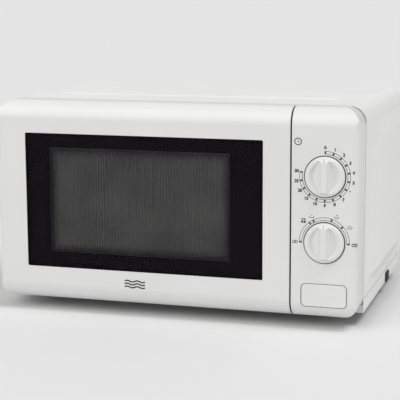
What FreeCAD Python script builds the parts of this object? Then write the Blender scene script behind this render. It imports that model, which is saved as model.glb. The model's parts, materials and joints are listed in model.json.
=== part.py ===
"""Counter-top microwave oven with a side-hinged door, two rotary controls and a push-button latch.

Millimetres. +X is to the user's right, +Y goes into the oven, +Z is up. Z = 0 is the surface the
feet stand on, and X = Y = 0 is the middle of the oven's bounding box.
"""
import FreeCAD, Part
import math
import os
from FreeCAD import Placement, Rotation, Vector
import Sketcher

# ---------------------------------------------------------------- driving dimensions
DRIVING = {
    # casing
    "width": 452, "body_height": 248, "foot_height": 14, "depth": 318, "cover_steel": 1.0,
    "cover_round": 18, "cover_drop": 1, "knob_reach": 8, "gland_reach": 8,
    "emboss_side": 7, "emboss_front": 66, "emboss_front_bevel": 52, "emboss_low": 37,
    "emboss_high": 223, "emboss_bevel": 17, "emboss_top": 1, "emboss_top_inset": 46,
    "groove_rise": 18, "groove_depth": 0.4,
    "foot_radius": 13, "foot_inset": 42, "foot_front": 46, "screw_radius": 1.9, "vent_slot": 3,
    # moulded front: door and control panel
    "front_depth": 35, "front_gap": 2, "top_round": 22, "side_round": 7, "corner_round": 24,
    "seam": 1.6, "panel_width": 80.5, "plastic": 2.5, "clearance": 0.4, "edge_soft": 1.2,
    # window and door inner
    "window_left": 38.7, "window_low": 42.9, "window_right": 32.2, "window_height": 165.9,
    "window_round": 2, "glass": 3, "glass_lap": 4, "glass_lip": 1, "door_steel": 0.8,
    "screen_gap": 4, "screen_border": 16, "choke_cover": 3, "film": 0.5,
    # hinge and latch
    "hinge_inset": 6.5, "hinge_depth": 15, "pin_radius": 2.5, "pin_length": 22, "running": 0.05,
    "hinge_drop": 30, "hinge_steel": 3, "hinge_slot": 7, "hook_inset": 14, "hook_reach": 29,
    "hook_spread": 124, "hook_tall": 9, "hook_nose": 2.4, "hook_steel": 3, "hook_middle": 134,
    "hook_lift": 2.8,
    # controls
    "knob_inset": 40.3, "timer_rise": 168.9, "power_rise": 91.8, "well_radius": 24.7,
    "well_depth": 9, "knob_gap": 1.2, "knob_rim": 3.5, "grip_width": 6.4,
    "scoop_radius": 14, "scoop_offset": 12.6,
    "shaft_radius": 3, "button_width": 53.6, "button_tall": 27.2, "button_gap": 0.6,
    "button_rise": 29, "button_round": 5.5,
    # oven cavity
    "cavity_left": 30, "cavity_right": 34.7, "cavity_height": 200, "cavity_depth": 262,
    "cavity_floor": 24, "cavity_steel": 0.8, "cavity_round": 12,
    # turntable
    "tray_gap": 8.5, "tray_glass": 4, "ring_radius": 84, "roller_radius": 7,
    "roller_width": 7, "coupler_radius": 20, "drive_radius": 4, "rolling_gap": 0.3,
    # cooling and electrics
    "fan_radius": 42, "fan_height": 160, "magnetron_height": 165, "transformer_height": 66,
}

doc = FreeCAD.newDocument("microwave_oven")
sheet = doc.addObject("Spreadsheet::Sheet", "dims")
for row, (alias, number) in enumerate(DRIVING.items(), start=1):
    sheet.set("A%d" % row, alias)
    sheet.set("B%d" % row, str(number))
    sheet.setAlias("B%d" % row, alias)
doc.recompute()


class Size:
    """A length that carries its value and the spreadsheet expression it comes from."""

    def __init__(self, value, text):
        self.value = float(value)
        self.text = text

    def _join(self, other, sign, value, swap=False):
        other_text = other.text if isinstance(other, Size) else "%.10g" % other
        first, second = (other_text, self.text) if swap else (self.text, other_text)
        return Size(value, "(%s %s %s)" % (first, sign, second))

    def __float__(self):
        return self.value

    def __neg__(self):
        return Size(-self.value, "(-1 * %s)" % self.text)

    def __add__(self, other):
        return self._join(other, "+", self.value + float(other))

    def __radd__(self, other):
        return self._join(other, "+", float(other) + self.value, swap=True)

    def __sub__(self, other):
        return self._join(other, "-", self.value - float(other))

    def __rsub__(self, other):
        return self._join(other, "-", float(other) - self.value, swap=True)

    def __mul__(self, other):
        return self._join(other, "*", self.value * float(other))

    __rmul__ = __mul__

    def __truediv__(self, other):
        return self._join(other, "/", self.value / float(other))


def cell(alias):
    return Size(sheet.get(alias), "dims." + alias)


D = {alias: cell(alias) for alias in DRIVING}

# ---------------------------------------------------------------- places worked out from them
LEFT = -D["width"] / 2
RIGHT = D["width"] / 2
BOTTOM = D["foot_height"]
TOP = BOTTOM + D["body_height"]
FRONT = (D["knob_reach"] - D["depth"] - D["gland_reach"]) / 2
BACK = FRONT + D["depth"]
FRONT_BACK = FRONT + D["front_depth"]
PLATE = FRONT_BACK + D["front_gap"]
COVER_TOP = TOP - D["cover_drop"]
SEAM = RIGHT - D["panel_width"]
DOOR_RIGHT = SEAM - D["seam"] / 2
PANEL_LEFT = SEAM + D["seam"] / 2
HINGE_X = LEFT + D["hinge_inset"]
HINGE_Y = FRONT_BACK - D["hinge_depth"]
WINDOW_X0 = LEFT + D["window_left"]
WINDOW_X1 = DOOR_RIGHT - D["window_right"]
WINDOW_Z0 = BOTTOM + D["window_low"]
WINDOW_Z1 = WINDOW_Z0 + D["window_height"]
CAVITY_X0 = LEFT + D["cavity_left"]
CAVITY_X1 = DOOR_RIGHT - D["cavity_right"]
CAVITY_Z0 = BOTTOM + D["cavity_floor"]
CAVITY_Z1 = CAVITY_Z0 + D["cavity_height"]
CAVITY_Y0 = PLATE + D["cover_steel"]
CAVITY_Y1 = CAVITY_Y0 + D["cavity_depth"]
TRAY_X = (CAVITY_X0 + CAVITY_X1) / 2
TRAY_Y = (CAVITY_Y0 + CAVITY_Y1) / 2
KNOB_X = RIGHT - D["knob_inset"]
TIMER_Z = BOTTOM + D["timer_rise"]
POWER_Z = BOTTOM + D["power_rise"]
BUTTON_Z = BOTTOM + D["button_rise"]
INNER_LEFT = LEFT + D["cover_steel"]
INNER_RIGHT = RIGHT - D["cover_steel"]
BASE_LOW = BOTTOM + 2
BASE_TOP = BASE_LOW + D["cover_steel"]
BAY_LEFT = CAVITY_X1 + D["cavity_steel"]
BAY_X = (BAY_LEFT + INNER_RIGHT) / 2
REAR_INSIDE = BACK - 2 * D["cover_steel"]
FAN_Z = BOTTOM + D["fan_height"]
MAGNETRON_Z = BOTTOM + D["magnetron_height"]
MAGNETRON_Y = CAVITY_Y0 + 110
UPPER_HINGE_Z = TOP - D["hinge_drop"]
LOWER_HINGE_Z = BOTTOM + D["hinge_drop"]
HOOK_X = DOOR_RIGHT - D["hook_inset"]
HOOK_Z = BOTTOM + D["hook_middle"]

# ---------------------------------------------------------------- drawing helpers
# Each plane's name, whether its normal points along the world axis, and that axis.
PLANES = {"XY": ("XY_Plane", 1), "XZ": ("XZ_Plane", -1), "YZ": ("YZ_Plane", 1)}
made = {}


def bind(thing, prop, size):
    """Sets a property to a number, and ties it to the spreadsheet if it comes from there."""
    if isinstance(size, Size):
        thing.setExpression(prop, size.text)
    else:
        thing.setExpression(prop, "%.10g" % size)


def place(thing, x=0, y=0, z=0, rotation=None):
    if rotation is not None:
        thing.Placement = Placement(Vector(0, 0, 0), rotation)
    for axis, size in zip("xyz", (x, y, z)):
        bind(thing, "Placement.Base." + axis, size)
    return thing


def block(x, y, z):
    """A box between the pairs x, y and z."""
    thing = doc.addObject("Part::Box", "block")
    for prop, (low, high) in zip(("Length", "Width", "Height"), (x, y, z)):
        bind(thing, prop, high - low)
    return place(thing, x[0], y[0], z[0])


TURNS = {
    "x": Rotation(Vector(0, 1, 0), 90),
    "y": Rotation(Vector(1, 0, 0), -90),
    "z": Rotation(),
}


def rod(axis, centre, radius, start, end, tip_radius=None):
    """A cylinder along an axis, or a cone when it has a tip radius. centre holds the other two places."""
    thing = doc.addObject("Part::Cone" if tip_radius is not None else "Part::Cylinder", "rod")
    if tip_radius is None:
        bind(thing, "Radius", radius)
    else:
        bind(thing, "Radius1", radius)
        bind(thing, "Radius2", tip_radius)
    bind(thing, "Height", end - start)
    where = dict(zip([a for a in "xyz" if a != axis], centre))
    where[axis] = start
    return place(thing, rotation=TURNS[axis], **where)


def ring(axis, centre, inner, outer, start, end):
    return cut(rod(axis, centre, outer, start, end), rod(axis, centre, inner, start - 1, end + 1))


def fuse(*things):
    thing = doc.addObject("Part::MultiFuse", "fuse")
    thing.Shapes = list(things)
    thing.Refine = True
    return thing


def common(*things):
    thing = doc.addObject("Part::MultiCommon", "common")
    thing.Shapes = list(things)
    thing.Refine = True
    return thing


def cut(base, *tools):
    thing = doc.addObject("Part::Cut", "cut")
    thing.Base = base
    thing.Tool = tools[0] if len(tools) == 1 else gather(*tools)
    thing.Refine = True
    return thing


def gather(*things):
    """Several solids held together as one object, without joining them."""
    thing = doc.addObject("Part::Compound", "group")
    thing.Links = list(things)
    return thing


def part(label, thing):
    """Names a finished piece. Its label is the name of its file."""
    thing.Label = label
    made[label] = thing
    return thing


def attach(body, plane, offset):
    """A sketch on one of the body's own origin planes, moved along the plane's normal."""
    name, sign = PLANES[plane]
    sketch = body.newObject("Sketcher::SketchObject", "sketch")
    origin = [f for f in body.Origin.OriginFeatures if f.Role == name][0]
    sketch.AttachmentSupport = [(origin, "")]
    sketch.MapMode = "FlatFace"
    bind(sketch, "AttachmentOffset.Base.z", offset * sign)
    return sketch


def pin_point(sketch, geometry, end, across, up):
    """Ties one end of a sketch line to its two distances from the origin."""
    for kind, size in (("DistanceX", across), ("DistanceY", up)):
        if abs(float(size)) < 1e-9:
            other = -2 if kind == "DistanceX" else -1
            sketch.addConstraint(Sketcher.Constraint("PointOnObject", geometry, end, other))
            continue
        number = sketch.addConstraint(Sketcher.Constraint(kind, -1, 1, geometry, end, float(size)))
        if isinstance(size, Size):
            sketch.setExpression("Constraints[%d]" % number, size.text)


def polygon(*corners):
    """An outline of straight lines through corners, each a pair of sizes."""

    def draw(sketch):
        at = [Vector(float(a), float(b), 0) for a, b in corners]
        for start, end in zip(at, at[1:] + at[:1]):
            sketch.addGeometry(Part.LineSegment(start, end), False)
        for i in range(len(at)):
            sketch.addConstraint(Sketcher.Constraint("Coincident", i, 2, (i + 1) % len(at), 1))
            pin_point(sketch, i, 1, *corners[i])

    return draw


def rounded(low, high, radius):
    """A rectangle from corner low to corner high with four rounded corners."""
    x0, z0 = low
    x1, z1 = high

    def draw(sketch):
        a, b, c, d, r = float(x0), float(z0), float(x1), float(z1), float(radius)
        lines = [((a + r, b), (c - r, b)), ((c, b + r), (c, d - r)),
                 ((c - r, d), (a + r, d)), ((a, d - r), (a, b + r))]
        for start, end in lines:
            sketch.addGeometry(Part.LineSegment(Vector(*start, 0), Vector(*end, 0)), False)
        centres = [(c - r, b + r), (c - r, d - r), (a + r, d - r), (a + r, b + r)]
        for quarter, centre in enumerate(centres):
            circle = Part.Circle(Vector(*centre, 0), Vector(0, 0, 1), r)
            turn = -math.pi / 2 + quarter * math.pi / 2
            sketch.addGeometry(Part.ArcOfCircle(circle, turn, turn + math.pi / 2), False)
        for i in range(4):
            sketch.addConstraint(Sketcher.Constraint("Tangent", i, 2, 4 + i, 1))
            sketch.addConstraint(Sketcher.Constraint("Tangent", 4 + i, 2, (i + 1) % 4, 1))
            if i:
                sketch.addConstraint(Sketcher.Constraint("Equal", 4, 4 + i))
        for i, kind in enumerate(("Horizontal", "Vertical", "Horizontal", "Vertical")):
            sketch.addConstraint(Sketcher.Constraint(kind, i))
        number = sketch.addConstraint(Sketcher.Constraint("Radius", 4, r))
        if isinstance(radius, Size):
            sketch.setExpression("Constraints[%d]" % number, radius.text)
        for line, kind, size in ((3, "DistanceX", x0), (1, "DistanceX", x1),
                                 (0, "DistanceY", z0), (2, "DistanceY", z1)):
            number = sketch.addConstraint(Sketcher.Constraint(kind, -1, 1, line, 1, float(size)))
            if isinstance(size, Size):
                sketch.setExpression("Constraints[%d]" % number, size.text)

    return draw


def new_body(label):
    return doc.addObject("PartDesign::Body", label)


def pad(body, plane, outline, start, end):
    """Adds an outline on a plane, drawn out along the world axis from start to end."""
    sketch = attach(body, plane, start if PLANES[plane][1] > 0 else end)
    outline(sketch)
    feature = body.newObject("PartDesign::Pad", "pad")
    feature.Profile = sketch
    bind(feature, "Length", end - start)
    return feature


def slab(plane, outline, start, end):
    """A new body made by one pad."""
    body = new_body("slab")
    pad(body, plane, outline, start, end)
    return body


def turned(outline_points, x=0, y=0, z=0, rotation=None, label="turned"):
    """A body of revolution about the vertical axis; points are (radius, height) pairs."""
    body = new_body(label)
    sketch = attach(body, "XZ", 0)
    polygon(*outline_points)(sketch)
    feature = body.newObject("PartDesign::Revolution", "revolution")
    feature.Profile = sketch
    feature.ReferenceAxis = (sketch, ["V_Axis"])
    feature.Angle = 360
    return place(body, x, y, z, rotation)


def soften(body, radius, chosen):
    """A fillet of the last feature's edges for which chosen(edge) is true."""
    doc.recompute()
    tip = body.Tip
    names = ["Edge%d" % (i + 1) for i, e in enumerate(tip.Shape.Edges) if chosen(e)]
    feature = body.newObject("PartDesign::Fillet", "fillet")
    feature.Base = (tip, names)
    bind(feature, "Radius", radius)
    return feature


def soften_solid(thing, radius, chosen):
    """A fillet on a boolean result."""
    doc.recompute()
    feature = doc.addObject("Part::Fillet", "fillet")
    feature.Base = thing
    feature.Edges = [(i + 1, float(radius), float(radius))
                     for i, e in enumerate(thing.Shape.Edges) if chosen(e)]
    return feature


# ---------------------------------------------------------------- casing
def raised(axis, outer, inner, start, end):
    """A bevelled block that narrows from an outer to an inner rectangle along x, -x or z.

    The rectangles are (y0, y1, z0, z1) for x and -x, and (x0, x1, y0, y1) for z.
    """
    thing = doc.addObject("Part::Wedge", "raised")
    turn = {"x": Rotation(Vector(0, 0, 1), -90), "-x": Rotation(Vector(0, 0, 1), 90),
            "z": Rotation(Vector(1, 0, 0), 90)}[axis]
    for names, (a0, a1, b0, b1) in ((("Xmin", "Xmax", "Zmin", "Zmax"), outer),
                                    (("X2min", "X2max", "Z2min", "Z2max"), inner)):
        if axis == "x":
            a0, a1 = -a1, -a0
        if axis == "z":
            b0, b1 = -b1, -b0
        for prop, size in zip(names, (a0, a1, b0, b1)):
            bind(thing, prop, size)
    bind(thing, "Ymin", -start if axis == "-x" else start)
    bind(thing, "Ymax", -end if axis == "-x" else end)
    thing.Placement = Placement(Vector(0, 0, 0), turn)
    return thing


def cover_core(inset, start, end):
    """The space inside the cover's bent sheet, or the sheet's outside when inset is 0."""
    low = (LEFT + inset, BOTTOM - D["cover_round"])
    high = (RIGHT - inset, COVER_TOP - inset)
    return slab("XZ", rounded(low, high, D["cover_round"] - inset), start, end)


def cover_embosses(sunk):
    """The raised panels of both sides and the top, or the hollows behind them when sunk."""
    y0 = FRONT + D["emboss_front"]
    y1 = BACK - 14
    z0 = BOTTOM + D["emboss_low"]
    z1 = BOTTOM + D["emboss_high"]
    outer = (y0, y1, z0, z1)
    inner = (y0 + D["emboss_front_bevel"], y1 - D["emboss_bevel"],
             z0 + D["emboss_bevel"] / 2, z1 - D["emboss_bevel"])
    x0 = LEFT + D["emboss_top_inset"]
    x1 = RIGHT - D["emboss_top_inset"]
    top_outer = (x0, x1, y0 + D["emboss_top_inset"], y1)
    top_inner = (x0 + 6, x1 - 6, y0 + D["emboss_top_inset"] + 6, y1 - 6)
    rise = D["emboss_side"]
    return [
        raised("x", outer, inner, RIGHT - sunk, RIGHT + rise - sunk),
        raised("-x", outer, inner, LEFT + sunk, LEFT - rise + sunk),
        raised("z", top_outer, top_inner, COVER_TOP - sunk, COVER_TOP + D["emboss_top"] - sunk),
    ]


def louvres(x0, x1, y_first, z0, z1, count, pitch):
    """A row of upright slots through a side wall."""
    slots = []
    for i in range(count):
        y = y_first + i * pitch
        slots.append(block((x0, x1), (y, y + D["vent_slot"]), (z0, z1)))
    return slots


def side_grooves():
    """The shallow pressed line that runs low along each side."""
    low = BOTTOM + D["groove_rise"]
    depth = D["groove_depth"]
    return [block(across, (PLATE + 6, BACK + 1), (low, low + 1.5))
            for across in ((LEFT - 1, LEFT + depth), (RIGHT - depth, RIGHT + 1))]


def outer_cover():
    """The painted steel wrap: both sides and the top, with a turned-in flange at the back."""
    outside = fuse(cover_core(0, PLATE, BACK), *cover_embosses(0))
    steel = D["cover_steel"]
    inside = cover_core(steel, PLATE - 1, BACK - steel)
    rear = cover_core(steel + 12, BACK - steel - 1, BACK + 1)
    below = block((LEFT - 10, RIGHT + 10), (FRONT, BACK + 10), (BOTTOM - 60, BASE_LOW))
    slots = louvres(LEFT - 5, INNER_LEFT + 5, BACK - 96, BOTTOM + 150, BOTTOM + 190, 10, 6)
    slots += side_grooves()
    holes = [rod("y", (x, z), D["screw_radius"], BACK - 5, BACK + 2) for x, z in COVER_SCREWS]
    part("outer_cover", cut(outside, inside, *cover_embosses(steel), rear, below, *slots, *holes))


COVER_SCREWS = [
    (LEFT + 7, BOTTOM + 40), (LEFT + 7, BOTTOM + 205), (RIGHT - 7, BOTTOM + 40),
    (RIGHT - 7, BOTTOM + 205), (LEFT + 120, COVER_TOP - 7), (RIGHT - 120, COVER_TOP - 7),
]


def cover_screws():
    """Six pan-head screws that hold the cover's flange to the rear panel."""
    screws = []
    for x, z in COVER_SCREWS:
        shank = rod("y", (x, z), D["screw_radius"], REAR_INSIDE - 4, BACK)
        head = rod("y", (x, z), 3.6, BACK, BACK + 2.2, 2.4)
        cross = [block((x - 0.5, x + 0.5), (BACK + 1.2, BACK + 3), (z - 1.9, z + 1.9)),
                 block((x - 1.9, x + 1.9), (BACK + 1.2, BACK + 3), (z - 0.5, z + 0.5))]
        screws.append(cut(fuse(shank, head), *cross))
    part("cover_screws", gather(*screws))


def feet_places():
    return [(x, y) for x in (LEFT + D["foot_inset"], RIGHT - D["foot_inset"])
            for y in (PLATE + D["foot_front"], BACK - 44)]


def base_plate():
    """The steel floor pan, with a turned-up rim, foot holes and intake slots."""
    inset = D["clearance"] / 2
    outer = block((INNER_LEFT + inset, INNER_RIGHT - inset), (CAVITY_Y0, REAR_INSIDE),
                  (BASE_LOW, BASE_TOP + 9))
    steel = D["cover_steel"]
    hollow = block((INNER_LEFT + inset + steel, INNER_RIGHT - inset - steel),
                   (CAVITY_Y0 + steel, REAR_INSIDE - steel), (BASE_TOP, BASE_TOP + 20))
    holes = [rod("z", place_xy, 4, BASE_LOW - 1, BASE_TOP + 1) for place_xy in feet_places()]
    for i in range(8):
        x = BAY_X - 36 + i * 9
        holes.append(block((x, x + D["vent_slot"]), (MAGNETRON_Y - 70, MAGNETRON_Y - 40),
                           (BASE_LOW - 1, BASE_TOP + 1)))
    part("base_plate", cut(outer, hollow, *holes))


def feet():
    """Four moulded feet, each with a peg through the base plate."""
    pads = []
    for x, y in feet_places():
        pad_body = turned([(0, 0), (D["foot_radius"] - 3, 0), (D["foot_radius"], 5),
                           (D["foot_radius"], BASE_LOW), (4, BASE_LOW), (4, BASE_TOP + 4),
                           (0, BASE_TOP + 4)], x, y, 0)
        pads.append(pad_body)
    part("feet", gather(*pads))


GLAND_X = RIGHT - 46
GLAND_Z = BOTTOM + 26


def rear_panel():
    """The steel back, with an exhaust grille, a fan grille and the cord gland's hole."""
    inset = D["clearance"] / 2
    outer = slab("XZ", rounded((INNER_LEFT + inset, BASE_TOP + 9),
                               (INNER_RIGHT - inset, COVER_TOP - D["cover_steel"] - inset),
                               D["cover_round"] - D["cover_steel"] - inset),
                 REAR_INSIDE, REAR_INSIDE + D["cover_steel"])
    holes = [rod("y", (x, z), D["screw_radius"], REAR_INSIDE - 2, BACK) for x, z in COVER_SCREWS]
    holes.append(rod("y", (GLAND_X, GLAND_Z), 7, REAR_INSIDE - 2, BACK))
    for i in range(9):
        z = FAN_Z - 34 + i * 8
        half = 34 - abs(i - 4) * 4
        holes.append(block((BAY_X - half, BAY_X + half), (REAR_INSIDE - 2, BACK),
                           (z, z + D["vent_slot"])))
    for i in range(12):
        x = LEFT + 60 + i * 8
        holes.append(block((x, x + D["vent_slot"]), (REAR_INSIDE - 2, BACK),
                           (BOTTOM + 150, BOTTOM + 190)))
    part("rear_panel", cut(outer, *holes))


def cord_gland():
    """The strain-relief bush that a mains lead would pass through."""
    flange = rod("y", (GLAND_X, GLAND_Z), 11, REAR_INSIDE + D["cover_steel"],
                 BACK + D["gland_reach"] - 4)
    nose = rod("y", (GLAND_X, GLAND_Z), 8, BACK + D["gland_reach"] - 4, BACK + D["gland_reach"], 6)
    neck = rod("y", (GLAND_X, GLAND_Z), 7, REAR_INSIDE, REAR_INSIDE + D["cover_steel"])
    nut = rod("y", (GLAND_X, GLAND_Z), 10, REAR_INSIDE - 5, REAR_INSIDE)
    bore = rod("y", (GLAND_X, GLAND_Z), 3.6, REAR_INSIDE - 9, BACK + D["gland_reach"] + 3)
    part("cord_gland", cut(fuse(flange, nose, neck, nut), bore))


def edge_bumper():
    """A small rubber block pressed on the right wall's lower edge."""
    y0 = FRONT + 203
    x1 = RIGHT + 2
    body = new_body("bumper")
    pad(body, "XZ", rounded((RIGHT, BOTTOM + 1.5), (x1, BOTTOM + 14), 0.9), y0, y0 + 20)
    part("edge_bumper", body)


def front_plate():
    """The steel plate behind the door and panel, open at the cavity and at the control bay."""
    inset = D["clearance"] / 2
    outer = slab("XZ", rounded((INNER_LEFT + inset, BASE_LOW),
                               (INNER_RIGHT - inset, COVER_TOP - D["cover_steel"] - inset),
                               D["cover_round"] - D["cover_steel"] - inset), PLATE, CAVITY_Y0)
    y = (PLATE - 1, CAVITY_Y0 + 1)
    mouth = slab("XZ", rounded((CAVITY_X0, CAVITY_Z0), (CAVITY_X1, CAVITY_Z1), D["cavity_round"]),
                 *y)
    bay = block((PANEL_LEFT + 8, INNER_RIGHT - 8), y, (BOTTOM + 12, TOP - 14))
    slots = [block((HOOK_X - 3, HOOK_X + 6), y, (z - 3, z + D["hook_tall"] + D["hook_lift"] + 3))
             for z in hook_bottoms()]
    tongues = [block((HINGE_X - 1 - inset, HINGE_X + 12 + inset), y,
                     (z - D["hinge_steel"] / 2 - inset, z + D["hinge_steel"] / 2 + inset))
               for z in (UPPER_HINGE_Z, LOWER_HINGE_Z)]
    part("front_plate", cut(outer, mouth, bay, *slots, *tongues))


# ---------------------------------------------------------------- cavity and turntable
def cavity():
    """The enamelled steel box that food stands in, open at the front."""
    steel = D["cavity_steel"]
    outer = slab("XZ", rounded((CAVITY_X0 - steel, CAVITY_Z0 - steel),
                               (CAVITY_X1 + steel, CAVITY_Z1 + steel), D["cavity_round"] + steel),
                 CAVITY_Y0, CAVITY_Y1 + steel)
    inner = slab("XZ", rounded((CAVITY_X0, CAVITY_Z0), (CAVITY_X1, CAVITY_Z1), D["cavity_round"]),
                 CAVITY_Y0 - 1, CAVITY_Y1)
    holes = [rod("z", (TRAY_X, TRAY_Y), D["drive_radius"] + 2, CAVITY_Z0 - 3, CAVITY_Z0 + 1)]
    holes.append(block((CAVITY_X1 - 1, BAY_LEFT + 1), (MAGNETRON_Y - 40, MAGNETRON_Y + 40),
                       (MAGNETRON_Z - 22, MAGNETRON_Z + 22)))
    for i in range(5):
        for j in range(4):
            spot = (LAMP_Y - 12 + i * 6, LAMP_Z - 9 + j * 6)
            holes.append(rod("x", spot, 1.6, CAVITY_X1 - 1, BAY_LEFT + 1))
            spot = (CAVITY_Y1 - 60 + i * 6, CAVITY_Z1 - 50 + j * 6)
            holes.append(rod("x", spot, 1.6, CAVITY_X0 - 2, CAVITY_X0 + 1))
    part("cavity", cut(outer, inner, *holes))


LAMP_Y = MAGNETRON_Y + 88
LAMP_Z = MAGNETRON_Z + 16


def waveguide_cover():
    """The mica sheet over the microwave inlet in the cavity's right wall."""
    part("waveguide_cover", block((CAVITY_X1 - 0.5, CAVITY_X1 + 0),
                                  (MAGNETRON_Y - 48, MAGNETRON_Y + 48),
                                  (MAGNETRON_Z - 28, MAGNETRON_Z + 28)))


def turntable_motor():
    """The synchronous motor under the cavity floor, with its two mounting ears."""
    top = CAVITY_Z0 - D["cavity_steel"]
    can = rod("z", (TRAY_X, TRAY_Y), 24.5, top - 15, top)
    ears = block((TRAY_X - 30, TRAY_X + 30), (TRAY_Y - 5, TRAY_Y + 5), (top - 1, top))
    bore = rod("z", (TRAY_X, TRAY_Y), D["drive_radius"] + 0.3, top - 10, top + 1)
    part("turntable_motor", cut(fuse(can, ears), bore))


TRAY_LOW = CAVITY_Z0 + 2 * D["roller_radius"] + 2 * D["rolling_gap"]
COUPLER_LOW = CAVITY_Z0 + 1.5


def turntable():
    """The drive spindle, the three-armed coupler on it and the glass tray on top."""
    top = CAVITY_Z0 - D["cavity_steel"]
    spindle = rod("z", (TRAY_X, TRAY_Y), D["drive_radius"], top - 9, COUPLER_LOW + 6)
    part("drive_spindle", spindle)
    hub = rod("z", (TRAY_X, TRAY_Y), 9, COUPLER_LOW, TRAY_LOW)
    arms = []
    for i in range(3):
        arm = doc.addObject("Part::Box", "arm")
        bind(arm, "Length", D["coupler_radius"])
        bind(arm, "Width", 8)
        bind(arm, "Height", TRAY_LOW - COUPLER_LOW - 3)
        turn = Rotation(Vector(0, 0, 1), 120 * i)
        arm.Placement = Placement(Vector(0, 0, 0), turn)
        shift = turn.multVec(Vector(0, -4, 0))
        place(arm, TRAY_X + shift.x, TRAY_Y + shift.y, COUPLER_LOW + 3)
        arms.append(arm)
    socket = rod("z", (TRAY_X, TRAY_Y), D["drive_radius"], COUPLER_LOW - 1, COUPLER_LOW + 6)
    part("turntable_coupler", cut(fuse(hub, *arms), socket))
    r = D["cavity_depth"] / 2 - D["tray_gap"]
    t = D["tray_glass"]
    glass = turned([(0, 0), (r - 26, 0), (r - 10, 3), (r, 9), (r, 9 + t), (r - 1.5, 9 + t),
                    (r - 11, 3 + t), (r - 27, t), (0, t)], TRAY_X, TRAY_Y, TRAY_LOW)
    part("glass_tray", glass)


def roller_places():
    """The direction of each roller's axle, in degrees."""
    return [90, 210, 330]


def roller_ring():
    """The plastic ring with three stub axles, and the three wheels that the tray rides on."""
    z = CAVITY_Z0 + D["rolling_gap"] + D["roller_radius"]
    r = D["ring_radius"]
    track = ring("z", (TRAY_X, TRAY_Y), r - 8, r, z - 2.5, z + 2.5)
    axles = []
    for i, angle in enumerate(roller_places()):
        turn = Rotation(Vector(0, 0, 1), angle).multiply(TURNS["x"])
        way = Rotation(Vector(0, 0, 1), angle).multVec(Vector(1, 0, 0))
        axle = doc.addObject("Part::Cylinder", "axle")
        bind(axle, "Radius", 1.8)
        bind(axle, "Height", D["roller_width"] + 4)
        axle.Placement = Placement(Vector(0, 0, 0), turn)
        place(axle, TRAY_X + (r - 2) * way.x, TRAY_Y + (r - 2) * way.y, z)
        axles.append(axle)
        pieces = []
        for radius in (D["roller_radius"], 1.8 + D["running"]):
            wheel = doc.addObject("Part::Cylinder", "wheel")
            bind(wheel, "Radius", radius)
            bind(wheel, "Height", D["roller_width"])
            wheel.Placement = Placement(Vector(0, 0, 0), turn)
            place(wheel, TRAY_X + (r + 1) * way.x, TRAY_Y + (r + 1) * way.y, z)
            pieces.append(wheel)
        part("roller_wheel_%d" % (i + 1), cut(*pieces))
    part("roller_ring", fuse(track, *axles))


# ---------------------------------------------------------------- microwave source and cooling
GUIDE_RIGHT = BAY_LEFT + 36


def waveguide():
    """The steel duct that carries the microwaves from the magnetron to the cavity's side."""
    y = (MAGNETRON_Y - 46, MAGNETRON_Y + 46)
    z = (MAGNETRON_Z - 30, MAGNETRON_Z + 30)
    box = block((BAY_LEFT, GUIDE_RIGHT), y, z)
    hollow = block((BAY_LEFT - 1, GUIDE_RIGHT - 1), (y[0] + 1, y[1] - 1), (z[0] + 1, z[1] - 1))
    hole = rod("x", (MAGNETRON_Y, MAGNETRON_Z), 14, GUIDE_RIGHT - 2, GUIDE_RIGHT + 1)
    part("waveguide", cut(box, hollow, hole))


def magnetron():
    """The magnetron: yoke, cooling fins, magnets, antenna and filter box."""
    y, z = MAGNETRON_Y, MAGNETRON_Z
    x0 = GUIDE_RIGHT
    x1 = x0 + 52
    frame = block((x0, x1), (y - 40, y + 40), (z - 30, z + 30))
    tunnel = block((x0 + 1.5, x1 - 1.5), (y - 41, y + 41), (z - 28.5, z + 28.5))
    hole = rod("x", (y, z), 13, x0 - 1, x0 + 3)
    filter_box = block((x1, x1 + 17), (y - 28, y + 28), (z - 26, z + 26))
    part("magnetron_yoke", fuse(cut(frame, tunnel, hole), filter_box))
    anode = rod("x", (y, z), 18, x0 + 14, x1 - 14)
    fins = [block((x0 + 15 + i * 4, x0 + 15.8 + i * 4), (y - 38, y + 38), (z - 27, z + 27))
            for i in range(6)]
    antenna = rod("x", (y, z), 8, x0 - 20, x0 + 15)
    part("magnetron_tube", fuse(anode, antenna, *fins))
    magnets = [ring("x", (y, z), 10, 26, x0 + 1.5, x0 + 13), ring("x", (y, z), 10, 26, x1 - 13, x1 - 1.5)]
    part("magnetron_magnets", gather(*magnets))


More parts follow.
